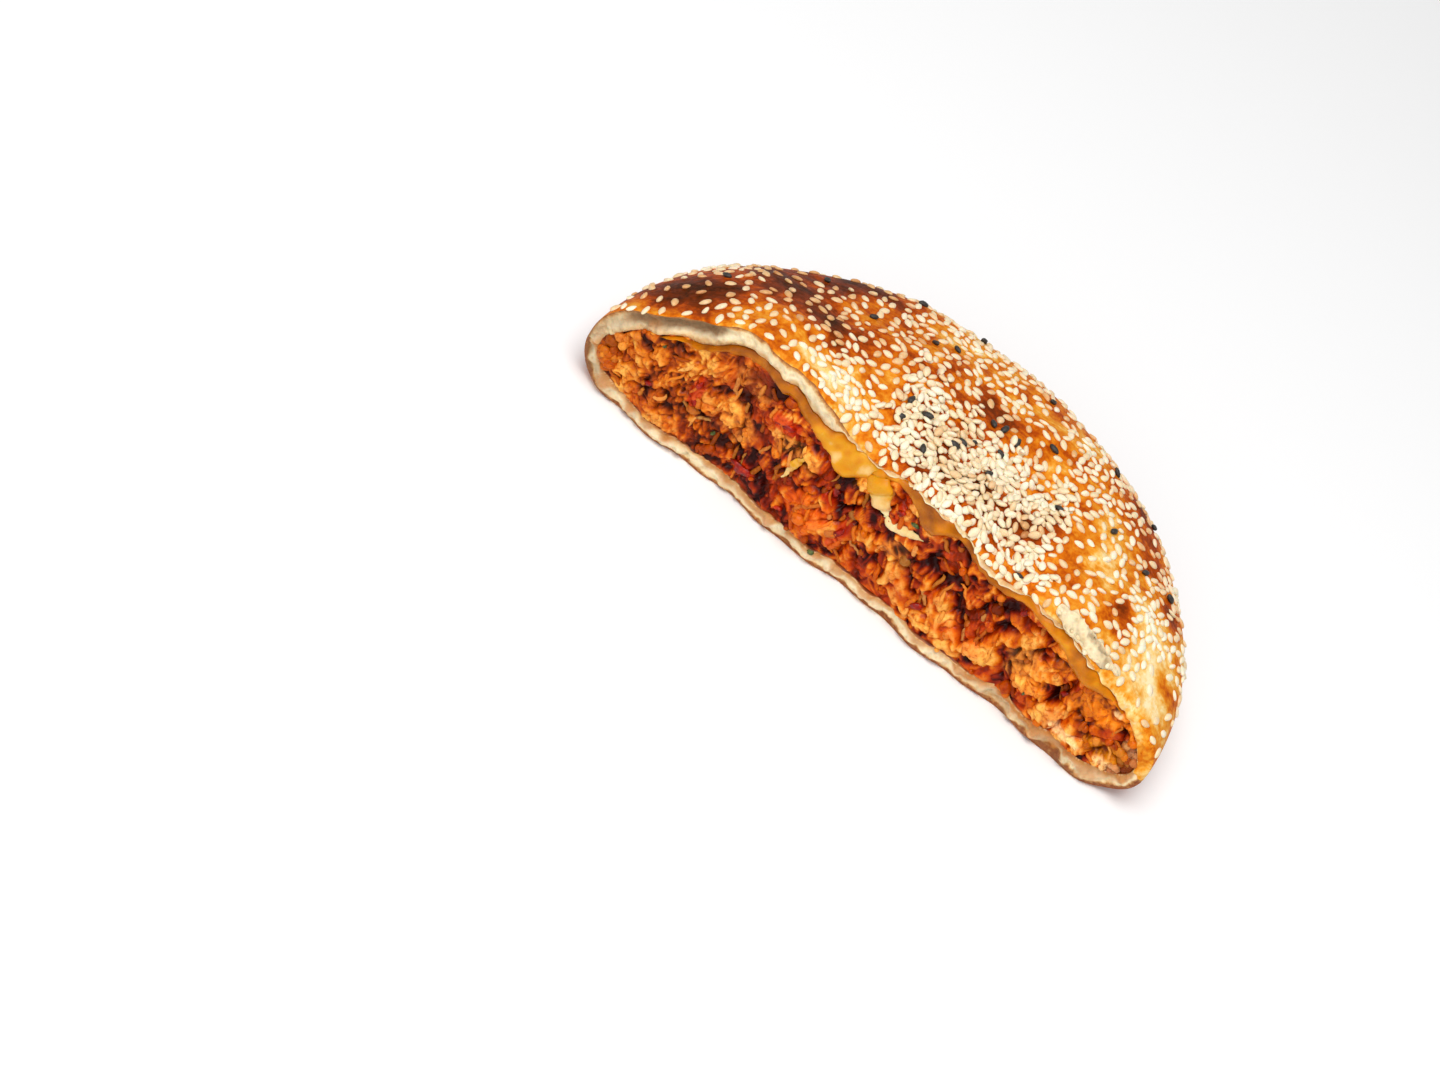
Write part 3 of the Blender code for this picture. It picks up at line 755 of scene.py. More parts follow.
filling = {
    "inset": 1.0,
    "overlap": 0.9,  # how far it reaches up behind the cheese
    "stations": 560,
    "frontRows": 112,
    "swell": 0.9,  # how far it stands out of the cut where its curds are of middle height
    "curdLevel": 1.9,  # the curds' middle height
    "hidden": "#8a3a10",
    # from the hollows, dark as painted shade, to the tops, light as painted highlight; the same at the
    # browner left end
    "shades": ((0.0, "#2c0300"), (0.16, "#5e0c00"), (0.32, "#982800"), (0.5, "#c65202"), (0.7, "#e87e10"),
               (0.98, "#fcbc5c")),
    "brownShades": ((0.0, "#4a1f06"), (0.5, "#c9761a"), (1.0, "#f2b04a")),
    # places stained red by tomato, or paler with egg: place, height, half widths, and which colour
    "stains": (
        (-57, 21, 2, 6, "red", 0.8), (-34, 31, 5, 2.5, "red", 0.85), (-37, 10, 5, 3, "red", 0.85),
        (-15, 22, 3, 3, "red", 0.8), (-18, 14, 6.5, 5.5, "orange", 0.6), (-8, 13, 2, 5, "red", 0.8),
        (-28, 26, 8, 3, "yellow", 0.5), (-46, 33, 6, 4, "yellow", 0.35), (-44, 20, 6, 5, "yellow", 0.3),
        (47, 17, 5, 6, "yellow", 0.5), (77, 12, 8, 3, "olive", 0.65), (6, 20, 4, 4, "yellow", 0.35),
        (30, 12, 8, 3, "orange", 0.4), (56, 27, 5, 4, "gold", 0.6), (68, 21, 7, 6, "gold", 0.75),
        (79, 23, 4, 4, "gold", 0.6), (53, 16, 3, 4, "gold", 0.5), (-12, 32, 1.5, 5, "olive", 0.5),
        (1, 32, 1.2, 4, "red", 0.7), (82, 16.4, 3.2, 2.8, "pale", 0.85), (66, 9.5, 5, 1.8, "pale", 0.7),
        # the pale dot at 73, 23 is a painted highlight
        (79, 8.6, 4, 1.6, "pale", 0.8), (73, 23, 1.3, 1.2, "pale", 0.8),
    ),
    "colours": {"red": "#b41a04", "orange": "#e2560a", "yellow": "#f6b250", "olive": "#cc8612",
                "gold": "#e88414", "pale": "#f6d09a"},
    # recesses between the curds, darkened by the colour's height as painted shade: place, height, half widths
    # and depth
    "recesses": (
        (23, 33, 5, 3.6, 2.8), (15, 25, 3.4, 2.2, 2.0), (34, 22, 4.5, 4.5, 2.2), (49.5, 25.5, 1.8, 4.5, 2.6),
        (59, 18, 1.6, 4, 2.2), (68.5, 13, 2.2, 1.5, 1.8), (-30, 15, 3.5, 3, 1.6), (-67, 30, 1.5, 1.5, 1.2),
        (42, 27, 2.4, 2.6, 1.8), (-24, 31, 3, 2, 1.4), (-16, 24, 2.4, 2, 1.5), (7, 22, 3, 1.6, 1.4),
        (-45, 26, 3, 2, 1.2), (-52, 14, 3, 2, 1.0), (28, 16, 2, 3, 1.4),
    ),
}


def fillingTop(x, y):
    # the cheese's underside and a little more at the cut, closing down to the pocket's rim
    closing = (1.0 - inPocket(x, y, filling["inset"]) ** 40) ** 0.5
    under = cheeseBottom(x, y) + filling["overlap"] * np.exp(-y / 3.0)
    return pie["pocketRim"] + (under - pie["pocketRim"]) * closing


def fillingBottom(x, y):
    # a little above the pocket's floor, with the same lips
    share = inPocket(x, y, filling["inset"])
    level = turnedUp(share, pie["flatShare"], pie["bottomCrust"] + 0.3, pie["pocketRim"])
    return level + 0.7 * floorLips(x, y) * (1.0 - share**4)


def slanted(x, z, turn):
    # the face as a slanting slice through the noise, turned by the angle, so that no lattice shows
    along = x * math.cos(turn) + z * math.sin(turn)
    across = z * math.cos(turn) - x * math.sin(turn)
    return along[..., None] * np.array([0.8, 0.48, 0.36]) + across[..., None] * np.array([-0.6, 0.64, 0.48])


def hollows(x, z):
    # wide soft ups and downs of the heap, from about -1 to 1: high where it stands out
    return 0.65 * noise(slanted(x, z, 0.7), 6.5, 44) + 0.5 * noise(slanted(x, z, 1.9), 3.6, 45)


def billow(points, size, salt, soft=0.3):
    # round swellings with creases between them: how far a noise is from 0, levelled off over the
    # softness. Gives the swelling, and a number that jumps from 0 to 1 across each crease
    value = noise(points, size, salt)
    return 1.0 - np.exp(-np.abs(value) / soft), smoothStep(value, -0.05, 0.05)


def shredded(x, z):
    # fine ridges that run three ways, each way in its own part of the face
    total = 0.0 * x
    for k, angle in enumerate((2.5, 1.5, 2.0)):
        lengthwise = x * math.cos(angle) + z * math.sin(angle)
        crosswise = z * math.cos(angle) - x * math.sin(angle)
        ridges = 1.0 - 2.4 * np.abs(noise(flat(lengthwise / 3.8, 9.0 * k, crosswise / 1.05), 1.0, 38 + k))
        here = smoothStep(noise(slanted(x, z, 0.8 * k), 5.0, 47 + 3 * k), -0.15, 0.2)
        total = total * (1.0 - here) + ridges * here
    return total


def curdHeights(x, z):
    # three sizes of swellings on wandering coordinates, big curds towards the right and crumbly
    # ones at the left, with shreds over them. Gives how far each point stands out, the shreds, and
    # the number that tells big, middle and small curds from their neighbours
    spot = slanted(x, z, 0.4)
    wander = np.stack([noise(spot, 3.4, salt) for salt in (31, 32, 33)], axis=-1)
    finer = np.stack([noise(spot, 1.3, salt) for salt in (41, 42, 43)], axis=-1)
    moved = 1.2 * wander + 0.4 * finer
    big, bigOwn = billow(moved + spot, 5.6, 50)
    middle, middleOwn = billow(moved + slanted(x, z, 1.3), 2.5, 60)
    small, smallOwn = billow(moved + slanted(x, z, 2.2), 1.25, 70)
    fibres = shredded(x, z)
    coarse = smoothStep(x, -42.0, -12.0)
    out = (0.5 + 2.1 * coarse) * big + (1.5 - 0.2 * coarse) * middle + (0.9 - 0.65 * coarse) * small
    out = out + 1.1 * hollows(x, z) + (0.12 + 0.2 * coarse) * fibres - 0.9 * coarse
    out = out * (1.0 - 0.6 * bump(x, 67.0, 8.0) * bump(z, 22.0, 6.0))  # cheese runs over the curds here
    return out - 0.8 * patchwork(filling["recesses"], x, z), fibres, bigOwn, middleOwn, smallOwn


def fillingRelief(x, z, share):
    # the curds and the heap's own swell, fading at the top and bottom edge, with no lift
    fade = np.clip(np.sin(math.pi * share), 0.0, 1.0) ** 0.14
    return (curdHeights(x, z)[0] + filling["swell"] - filling["curdLevel"]) * fade, 0.0


def palette(steps, value):
    # colours between the named steps: each channel read off at the value
    places = [place for place, _ in steps]
    shades = np.array([linear(colour) for _, colour in steps])
    return np.stack([np.interp(value, places, shades[:, k]) for k in range(3)], axis=-1)


def fillingColour(x, z):
    # painted shade in the hollows, orange on the curds, and painted highlight yellow on their tops;
    # each curd keeps its own tint, the left end is browner, the right half lighter, and the named stains are
    # laid over
    out, fibres, bigOwn, middleOwn, smallOwn = curdHeights(x, z)
    # the level follows the curds' height and the heap's wide ups and downs: painted shade low, painted
    # highlight high
    level = (out + 0.45) / 4.2 + 0.16 * (middleOwn - 0.5) + 0.06 * (smallOwn - 0.5) + 0.14 * (bigOwn - 0.5)
    level = level + 0.12 * smoothStep(x, -5.0, 30.0) - 0.15 * band(x, -50.0, -8.0, 8.0)
    streaks = 0.17 - 0.08 * smoothStep(x, 20.0, 45.0)
    level = level + streaks * fibres + 0.18 * hollows(x, z) + 0.18 * noise(slanted(x, z, 2.6), 2.2, 36)
    level = 0.455 + 1.18 * (level - 0.5)
    colour = palette(filling["shades"], level)
    reddish = (smoothStep(noise(slanted(x, z, 1.1), 5.0, 34), 0.0, 0.5) * 0.4)[..., None]
    colour = colour * (1.0 - reddish) + reddish * linear("#cf430a")
    brown = (0.3 * (1.0 - smoothStep(x, -60.0, -30.0)))[..., None]
    colour = colour * (1.0 - brown) + brown * palette(filling["brownShades"], level)
    edge = noise(slanted(x, z, 1.7), 2.0, 37)
    for px, pz, wide, tall, name, amount in filling["stains"]:
        laid = amount * smoothStep(bump(x, px, wide) * bump(z, pz, tall) + 0.25 * edge, 0.25, 0.6)
        # the stains keep the painted shade and highlight: faint in the hollows, darker low and lighter high
        laid = laid * (0.2 + 0.8 * smoothStep(level, 0.1, 0.45))
        shade = linear(filling["colours"][name]) * (0.6 + 0.8 * np.clip(level, 0.0, 1.0))[..., None]
        colour = colour * (1.0 - laid[..., None]) + laid[..., None] * shade
    return np.clip(colour, 0.0, 1.0)


def makeFilling(finish):
    # the heap as closed outlines, coloured point by point on its face and plain where it is hidden
    reach = pie["pocketReach"] - filling["inset"]
    x = stationsAcross(reach, filling["stations"], 0.72)
    half = halfDepth(x, reach, filling["inset"])
    points = loop(x, half, fillingTop, fillingBottom, filling["frontRows"], 13, fillingRelief)
    share = np.linspace(0.0, 1.0, filling["frontRows"])[:, None]
    low, high = fillingBottom(x, 0 * x), fillingTop(x, 0 * x)
    frontZ = low + (high - low) * share
    front = fillingColour(x + 0 * frontZ, frontZ)
    hidden = np.broadcast_to(linear(filling["hidden"]), (len(points) - len(front) - 1, len(x), 3))
    tint = np.concatenate([front, hidden, front[:1]])
    made = makeLoop("egg_and_tomato_filling", points, finish, {"tint": tint})
    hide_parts("filling")


def faceOut(x, z):
    # how far the filling's face stands out of the cut at a place
    low, high = fillingBottom(x, 0 * x), fillingTop(x, 0 * x)
    share = np.clip((z - low) / np.maximum(high - low, 1.0), 0.02, 0.98)
    return fillingRelief(x, z, share)[0]


# Loose curds, strands and bits in the cut

bits = {
    "curds": 90,
    "endCurds": 60,
    "curdSizes": (0.7, 1.9),
    "curdShades": ((0.2, "#842a02"), (0.4, "#ac4504"), (0.65, "#d0660c"), (0.88, "#e88e2e"),
                   (1.1, "#f6b866")),
    "strands": 120,
    "strandLengths": (2.5, 6.5),
    "strandRadii": (0.35, 0.75),
    "strandShades": ((0.2, "#8a3002"), (0.4, "#b45006"), (0.65, "#d87414"), (0.88, "#ee9a3a"),
                     (1.1, "#f9c274")),
    # tomato: place, height, length, width, turn in degrees
    "tomato": (
        (-57, 24, 3.2, 1.6, 80), (-56, 18, 3.0, 1.5, 100), (-34, 31, 5.0, 2.2, 10), (-37, 10, 6.0, 2.8, 5),
        (-15, 22, 3.4, 2.6, 30), (-8, 14, 4.4, 1.6, 75), (1.5, 31.5, 2.2, 1.6, 60), (18, 12, 3.4, 2.0, 20),
        (-68, 14, 2.6, 1.4, 40), (40, 30, 2.6, 1.6, 60), (60, 18, 2.6, 1.6, 30), (-24, 8, 3.0, 1.6, 15),
    ),
    "herbs": ((-11, 3.6, 2.2, 1.3, 20), (6, 31, 2.4, 1.4, 10), (-48, 13, 1.6, 0.9, 70), (28, 9, 1.6, 0.9, 35),
              (-70, 26, 1.5, 0.9, 50), (52, 11, 1.6, 0.9, 80)),
}


def ball(rings, sides):
    # a unit ball of rings and sides between two poles, with its faces
    polar = np.linspace(0.0, math.pi, rings + 2)[1:-1, None]
    around = np.linspace(0.0, 2.0 * math.pi, sides, endpoint=False)[None, :]
    body = flat(np.sin(polar) * np.cos(around), np.sin(polar) * np.sin(around), np.cos(polar) + 0 * around)
    points = np.concatenate([[[0.0, 0.0, 1.0]], body.reshape(-1, 3), [[0.0, 0.0, -1.0]]])
    return points, capped(rings, sides)


def turned(angle):
    # how a place on the cut face turns by the angle: along, out of the cut, and up
    cosine, sine = np.cos(angle), np.sin(angle)
    zero, one = 0 * angle, 1 + 0 * angle
    return np.stack([np.stack([cosine, zero, sine], -1), np.stack([zero, -one, zero], -1),
                     np.stack([-sine, zero, cosine], -1)], axis=-2)


def facePlaces(chance, count, margin):
    # even draws over the cut face, kept between the filling's top and bottom
    x = pie["pocketX"] + (pie["pocketReach"] - 5.0) * chance.uniform(-1.0, 1.0, count * 2)
    low, high = fillingBottom(x, 0 * x), fillingTop(x, 0 * x)
    room = high - low > 2.0 * margin + 1.0
    x, low, high = x[room][:count], low[room][:count], high[room][:count]
    return x, low + margin + (high - low - 2.0 * margin) * chance.uniform(0.0, 1.0, len(x))


def endPlaces(chance, count):
    # draws along the pocket's two ends, just inside its lining, to fill what the heap leaves open
    side = np.where(chance.uniform(0.0, 1.0, count) < 0.5, -1.0, 1.0)
    x = pie["pocketX"] + side * (pie["pocketReach"] - chance.uniform(0.8, 5.0, count))
    low, high = pocketFloor(x, 0 * x) + 0.8, pocketRoof(x, 0 * x) - 1.0
    return x, low + (high - low) * chance.uniform(0.0, 1.0, count)


def makeCurds(finish):
    # uneven balls pressed into the face, each with its own noise, turn and shade
    chance = np.random.default_rng(5)
    x, z = facePlaces(chance, bits["curds"], -0.3)
    xEnd, zEnd = endPlaces(chance, bits["endCurds"])
    x, z = np.concatenate([x, xEnd]), np.concatenate([z, zEnd])
    count = len(x)
    small, large = bits["curdSizes"]
    size = small + (large - small) * chance.uniform(0.0, 1.0, count) ** 1.8
    size[-len(xEnd) :] = np.maximum(size[-len(xEnd) :], 1.3)
    points, faces = ball(5, 9)
    spread = points[None] * 1.3 + chance.uniform(-50.0, 50.0, (count, 1, 3))
    lumpy = points[None] * (1.0 + 0.22 * noise(spread, 0.9, 80))[..., None]
    lumpy = lumpy * size[:, None, None] * chance.uniform(0.75, 1.15, (count, 1, 3))
    spun = np.einsum("nvi,nij->nvj", lumpy, turned(chance.uniform(0.0, math.pi, count)))
    centre = layCut(x, -faceOut(x, z) + 0.25 * size, z)
    # each curd is darker where the heap dips and takes the face's colour, both carrying painted shade and
    # highlight
    shade = palette(bits["curdShades"], chance.uniform(0.3, 1.0, count) + 0.3 * hollows(x, z))
    makeShapes("egg_curds", centre[:, None] + spun, faces, finish,
               {"tint": 0.4 * shade + 0.6 * fillingColour(x, z)})


def unit(vectors):
    # the same directions with a length of 1
    return vectors / np.linalg.norm(vectors, axis=-1, keepdims=True)


def tubes(paths, radii, sides, flatness):
    # flattened sections carried along paths: (copies, steps, 3) and radii (copies, steps)
    along = unit(np.gradient(paths, axis=1))
    side = unit(np.cross(along, np.array([0.0, 1.0, 0.001])))
    other = np.cross(along, side) * flatness
    around = np.linspace(0.0, 2.0 * math.pi, sides, endpoint=False)
    ring = side[:, :, None] * np.cos(around)[:, None] + other[:, :, None] * np.sin(around)[:, None]
    body = paths[:, :, None] + ring * radii[:, :, None, None]
    shapes = np.concatenate([paths[:, :1], body.reshape(len(paths), -1, 3), paths[:, -1:]], axis=1)
    return shapes, capped(paths.shape[1], sides)


def makeStrands(finish):
    # shreds of curd and cheese lying on the face: neighbours run nearly the same way, bend once or
    # twice, follow the lumps under them and taper at their ends
    chance = np.random.default_rng(8)
    x, z = facePlaces(chance, bits["strands"], 1.2)
    count = len(x)
    shortest, longest = bits["strandLengths"]
    length = chance.uniform(shortest, longest, count)
    heading = 1.95 + 0.9 * noise(flat(x, 0.0, z), 13.0, 46) + chance.normal(0.0, 0.35, count)
    heading = heading[:, None]
    share = np.linspace(-0.5, 0.5, 9)
    bend = chance.uniform(-1.0, 1.0, (count, 1)) * 0.8 * np.sin(chance.uniform(2.0, 6.0, (count, 1)) * share)
    bend = bend + chance.uniform(-1.0, 1.0, (count, 1)) * (share**2) * 2.0
    along = length[:, None] * share
    px = x[:, None] + along * np.cos(heading) - bend * np.sin(heading)
    pz = z[:, None] + along * np.sin(heading) + bend * np.cos(heading)
    over = np.where(chance.uniform(0.0, 1.0, (count, 1)) < 0.3, 2.4, 0.4)  # some lie over the cheese
    low, high = fillingBottom(px, 0 * px) + 0.2, fillingTop(px, 0 * px) + over
    pz = np.clip(pz, low, np.maximum(low, high))
    thin, thick = bits["strandRadii"]
    radius = chance.uniform(thin, thick, (count, 1)) * (1.0 - (2.0 * np.abs(share)) ** 3) ** 0.5
    radius = np.maximum(radius, 0.06)
    out = faceOut(px, pz)
    out = 0.6 * out + 0.4 * out.mean(axis=1, keepdims=True) + 0.35 * radius
    shapes, faces = tubes(layCut(px, -out, pz), radius, 6, 0.7)
    # each shred is darker where the heap dips and takes the face's colour, both carrying painted shade and
    # highlight
    shade = palette(bits["strandShades"], chance.uniform(0.3, 1.05, count) + 0.25 * hollows(x, z))
    makeShapes("curd_and_cheese_shreds", shapes, faces, finish,
               {"tint": 0.5 * shade + 0.5 * fillingColour(x, z)})


def makeBits(name, places, thickness, finish, salt):
    # flat uneven chips laid on the face at the named places
    x, z, long, wide, angle = np.array(places, dtype=float).T
    points, faces = ball(7, 14)
    spread = points[None] * 1.1 + np.arange(len(x))[:, None, None] * 7.0
    lumpy = points[None] * (1.0 + layers(spread, (0.45, 0.8, salt), (0.25, 0.4, salt + 5)))[..., None]
    sizes = np.stack([0.5 * long, thickness + 0 * long, 0.5 * wide], axis=-1)
    spun = np.einsum("nvi,nij->nvj", lumpy * sizes[:, None], turned(np.radians(angle)))
    centre = layCut(x, -faceOut(x, z) - 0.15 * thickness, z)
    makeShapes(name, centre[:, None] + spun, faces, finish)


flap = {
    "places": (45.0, 67.0),  # where the torn strip of crumb lies along the cut edge
    "width": 4.6,
    "thickness": 1.5,
    "back": 1.6,  # how far its middle lies behind the cut
    "sides": 28,
    "steps": 90,
}


def makeTornFlap(finish):
    # a strip of crumb torn off the edge, lying on the skin: a flat closed section carried along
    # the edge, wide at its left end and crumpled on its upper side by noise
    around = np.linspace(0.0, 2.0 * math.pi, flap["sides"], endpoint=False)[:, None]
    share = np.linspace(0.0, 1.0, flap["steps"])
    start, end = flap["places"]
    x = start + (end - start) * share
    wide = 0.5 * flap["width"] * np.sin(math.pi * share) ** 0.35 * (1.15 - 0.65 * share)
    wide = wide * (1.0 + layers(flat(x, 0.0, 4.0), (0.35, 3.1, 90), (0.25, 1.2, 89)))
    middle = flap["back"] + 0.7 * noise(flat(x, 1.0, 4.0), 5.0, 91)
    y = middle + wide * np.cos(around)
    lift = 0.45 + 0.5 * flap["thickness"] * np.sin(math.pi * share) ** 0.3 * np.sin(around)
    spot = flat(x, y, lift * 2.0)
    crumpled = 0.8 * noise(spot, 2.4, 92) + 1.0 * (0.5 - np.abs(noise(spot, 1.6, 93)))
    crumpled = crumpled + 0.35 * noise(spot, 0.8, 88)
    lift = lift + crumpled * (np.sin(around) > -0.2)
    inside = np.maximum(y, 0.3)
    points = surface(skinTop, x, inside) + flat(0.0, y - inside, lift)
    looks = {
        "crumbDepth": 0.42 + 0.22 * noise(spot, 2.6, 94),
        # painted shade where the crumpled top dips
        "crumbShade": np.clip(0.2 - 0.75 * crumpled, 0.0, 0.65),
        "crumbStain": 0.0 * y,
    }
    looks = {label: np.concatenate([values, values[:1]]) for label, values in looks.items()}
    makeLoop("torn_crumb_strip", np.concatenate([points, points[:1]]), finish, looks)


cheeseThreads = {
    "steps": 40,
    "sides": 18,
    "flatness": 0.45,
    # pale cheese: places along the cut, heights, radii, and its tone at both ends
    "threads": (
        ((-9.0, -7.4, -5.6, -3.4, -1.6), (37.4, 34.8, 32.2, 29.2, 26.0), (2.6, 3.7, 3.6, 2.4, 1.2),
         (0.5, 1.0)),
        ((-1.8, 1.2, 4.4, 7.0, 9.4), (26.6, 26.0, 26.6, 27.4, 28.6), (0.9, 1.5, 1.7, 1.4, 0.7),
         (0.95, 0.9)),
        ((-25.0, -26.0, -27.2, -27.0, -27.6), (28.0, 25.0, 22.0, 19.4, 17.0), (0.5, 0.9, 1.0, 0.8, 0.4),
         (0.7, 0.85)),
    ),
}


def makeThreads(finish):
    # smooth paths through a few places, laid over the filling's face, with radii that swell and thin
    share = np.linspace(0.0, 1.0, cheeseThreads["steps"])
    known = np.linspace(0.0, 1.0, 5)
    lengthwise = np.concatenate([[0.0], np.repeat(share, cheeseThreads["sides"]), [1.0]])
    paths = []
    radii = []
    tones = []
    for places, heights, sizes, (start, end) in cheeseThreads["threads"]:
        x = np.polyval(np.polyfit(known, places, 4), share)
        z = np.polyval(np.polyfit(known, heights, 4), share)
        radius = np.interp(share, known, sizes) * (1.0 + 0.2 * noise(flat(x, 2.0, z), 2.4, 95))
        out = faceOut(x, z)
        paths.append(layCut(x, 0.1 * radius - 0.5 * out - 0.5 * np.quantile(out, 0.7), z))
        radii.append(np.maximum(radius * np.sin(math.pi * np.clip(share, 0.02, 0.98)) ** 0.3, 0.1))
        tones.append(start + (end - start) * lengthwise)
    shapes, faces = tubes(np.array(paths), np.array(radii), cheeseThreads["sides"], cheeseThreads["flatness"])
    wobble = layers(shapes, (0.5, 2.6, 96), (0.15, 1.1, 99))[..., None] * np.array([1.2, 0.6, 1.2])
    makeShapes("pale_cheese_threads", shapes + wobble, faces, finish, {"cheeseTone": tones})


# Seeds

seeds = {
    "size": (3.25, 2.0, 1.2),  # length, width and thickness
    # from the round end to the pointed one: place as a share of the length, and share of the width
    "rings": ((-0.4, 0.52), (-0.2, 0.9), (0.04, 1.0), (0.26, 0.74), (0.42, 0.36)),
    "spacing": 2.78,
    "sink": 0.02,
    "solidCount": 90,  # the seeds that the solids also have, placed by the same rule
    "solidSpacing": 7.6,
    "draws": 12000,
    "edgeShare": 0.05,  # this share of the draws falls right on the pressed edge
    "edgePlaces": (-24.0, 48.0),
    # closer together (above 0) or sparser (below 0): place, half widths and how much
    "crowds": (
        (8, 13, 22, 15, 0.88), (22, 31, 13, 9, 0.42), (38, 6, 12, 6, 0.2), (67, 18, 6, 10, 0.62),
        (-36, 8, 12, 6, 0.5), (22, 54, 14, 7, 0.15), (-8, 27, 10, 8, 0.2),
        (78, 7, 9, 12, -0.75), (44, 20, 8, 10, -0.5), (-58, 45, 8, 20, -0.55), (15, 58, 5, 5, -0.6),
        (-50, 10, 7, 6, -0.3), (-43, 60, 8, 9, -0.5), (-75, 12, 10, 14, -0.5), (8, 45, 8, 4, -0.2),
    ),
    "pile": 430,  # seeds that lie on others where they are crowded
    "pileDraws": 3000,
    "pileSpacing": 2.2,
    "pileLift": 0.85,
    "black": (
        (-12, 75), (12, 69), (-15, 56.5), (-20, 51), (-14.5, 22), (-9, 21), (-14, 14.5), (-4.5, 10.5),
        (0.5, 20), (1.8, 23), (4, 26.5), (10.5, 30.5), (11.5, 20.5), (4.5, 38), (7.5, 39), (12, 38.5),
        (30.5, 29), (44.5, 37.5), (57, 37.5), (33, 1.5), (-70, 24), (-52, 52), (36, 62), (52, 61),
        (-36, 44), (66, 40), (-30, 70), (20, 47),
    ),
    "blackSize": (3.1, 1.8, 1.4),
    "blackRings": ((-0.36, 0.6), (-0.14, 0.95), (0.12, 0.98), (0.36, 0.5)),
}


def skinFrames(x, y, angle):
    # where the skin is, and its upward normal with a lengthwise direction turned by the angle
    step = 0.25
    here = surface(skinTop, x, y)
    right = surface(skinTop, x + step, y) - here
    back = surface(skinTop, x, y + step) - here
    normal = unit(np.cross(right, back))
    first = unit(np.cross(np.array([0.0, 1.0, 0.0]), normal))
    second = np.cross(normal, first)
    cosine, sine = np.cos(angle)[:, None], np.sin(angle)[:, None]
    return here, first * cosine + second * sine, second * cosine - first * sine, normal


def seedShape(size, rings, sides, boxy):
    # a flat drop, round at one end and pointed at the other: each ring is a place along it and a
    # share of its width, and a higher power makes the sections boxier
    length, width, thickness = size
    places, swelling = np.array(rings).T[:, :, None]
    turn = np.linspace(0.0, 2.0 * math.pi, sides, endpoint=False) + 0.5 * math.pi / sides
    across, up = np.cos(turn), np.sin(turn)
    rounded = (np.abs(across) ** boxy + np.abs(up) ** boxy) ** (-1.0 / boxy)
    body = flat(places * length, 0.5 * width * swelling * across * rounded,
                0.5 * thickness * swelling**0.6 * up * rounded)
    points = np.concatenate([[[-0.5 * length, 0.0, 0.0]], body.reshape(-1, 3), [[0.5 * length, 0.0, 0.0]]])
    return points, capped(len(rings), sides)


def solidSeedPlaces():
    # the solids' own rule: draws that stand clear of each other, then one turn for each
    chance = np.random.default_rng(11)
    kept = []
    while len(kept) < seeds["solidCount"]:
        x = chance.uniform(-pie["tipReach"], pie["tipReach"])
        y = chance.uniform(3.5, pie["depth"])
        clear = all(math.dist((x, y), other) > seeds["solidSpacing"] for other in kept)
        if clear and fromMiddle(x, y) < 0.95:
            kept.append((x, y))
    turns = np.array([chance.uniform(0.0, 2.0 * math.pi) for _ in kept])
    return np.array(kept).T, turns


def crowding(x, y):
    # the named places and two clouds of noise, less where the skin is browner
    patchy = layers(flat(x, y, 3.0), (0.22, 11.0, 97), (0.26, 5.5, 98))
    return patchwork(seeds["crowds"], x, y) + patchy - 0.8 * np.clip(browning(x, y) - 0.5, 0.0, 0.3)


def thinOut(places, spacing, kept):
    # goes through the draws in turn and keeps those that stand clear of all kept before
    kept = list(kept)
    chosen = []
    for k in range(len(places)):
        gaps = np.linalg.norm(np.array(kept) - places[k], axis=1) if kept else np.array([99.0])
        if gaps.min() > spacing[k]:
            kept.append(places[k])
            chosen.append(k)
    return np.array(chosen)


def laySeeds(shape, x, y, turn, lift, scale, tilt, roll):
    # turns one shape into the skin's own frame at each place, lifted off it, and tipped a little
    # along and across
    here, length, side, normal = skinFrames(x, y, turn)
    long = length * np.cos(tilt)[:, None] + normal * np.sin(tilt)[:, None]
    up = normal * np.cos(tilt)[:, None] - length * np.sin(tilt)[:, None]
    across = side * np.cos(roll)[:, None] + up * np.sin(roll)[:, None]
    up = up * np.cos(roll)[:, None] - side * np.sin(roll)[:, None]
    axes = np.stack([long, across, up], axis=1)
    middle = here + normal * lift[:, None]
    return middle[:, None] + np.einsum("vi,nij->nvj", shape, axes) * scale[:, None, None]


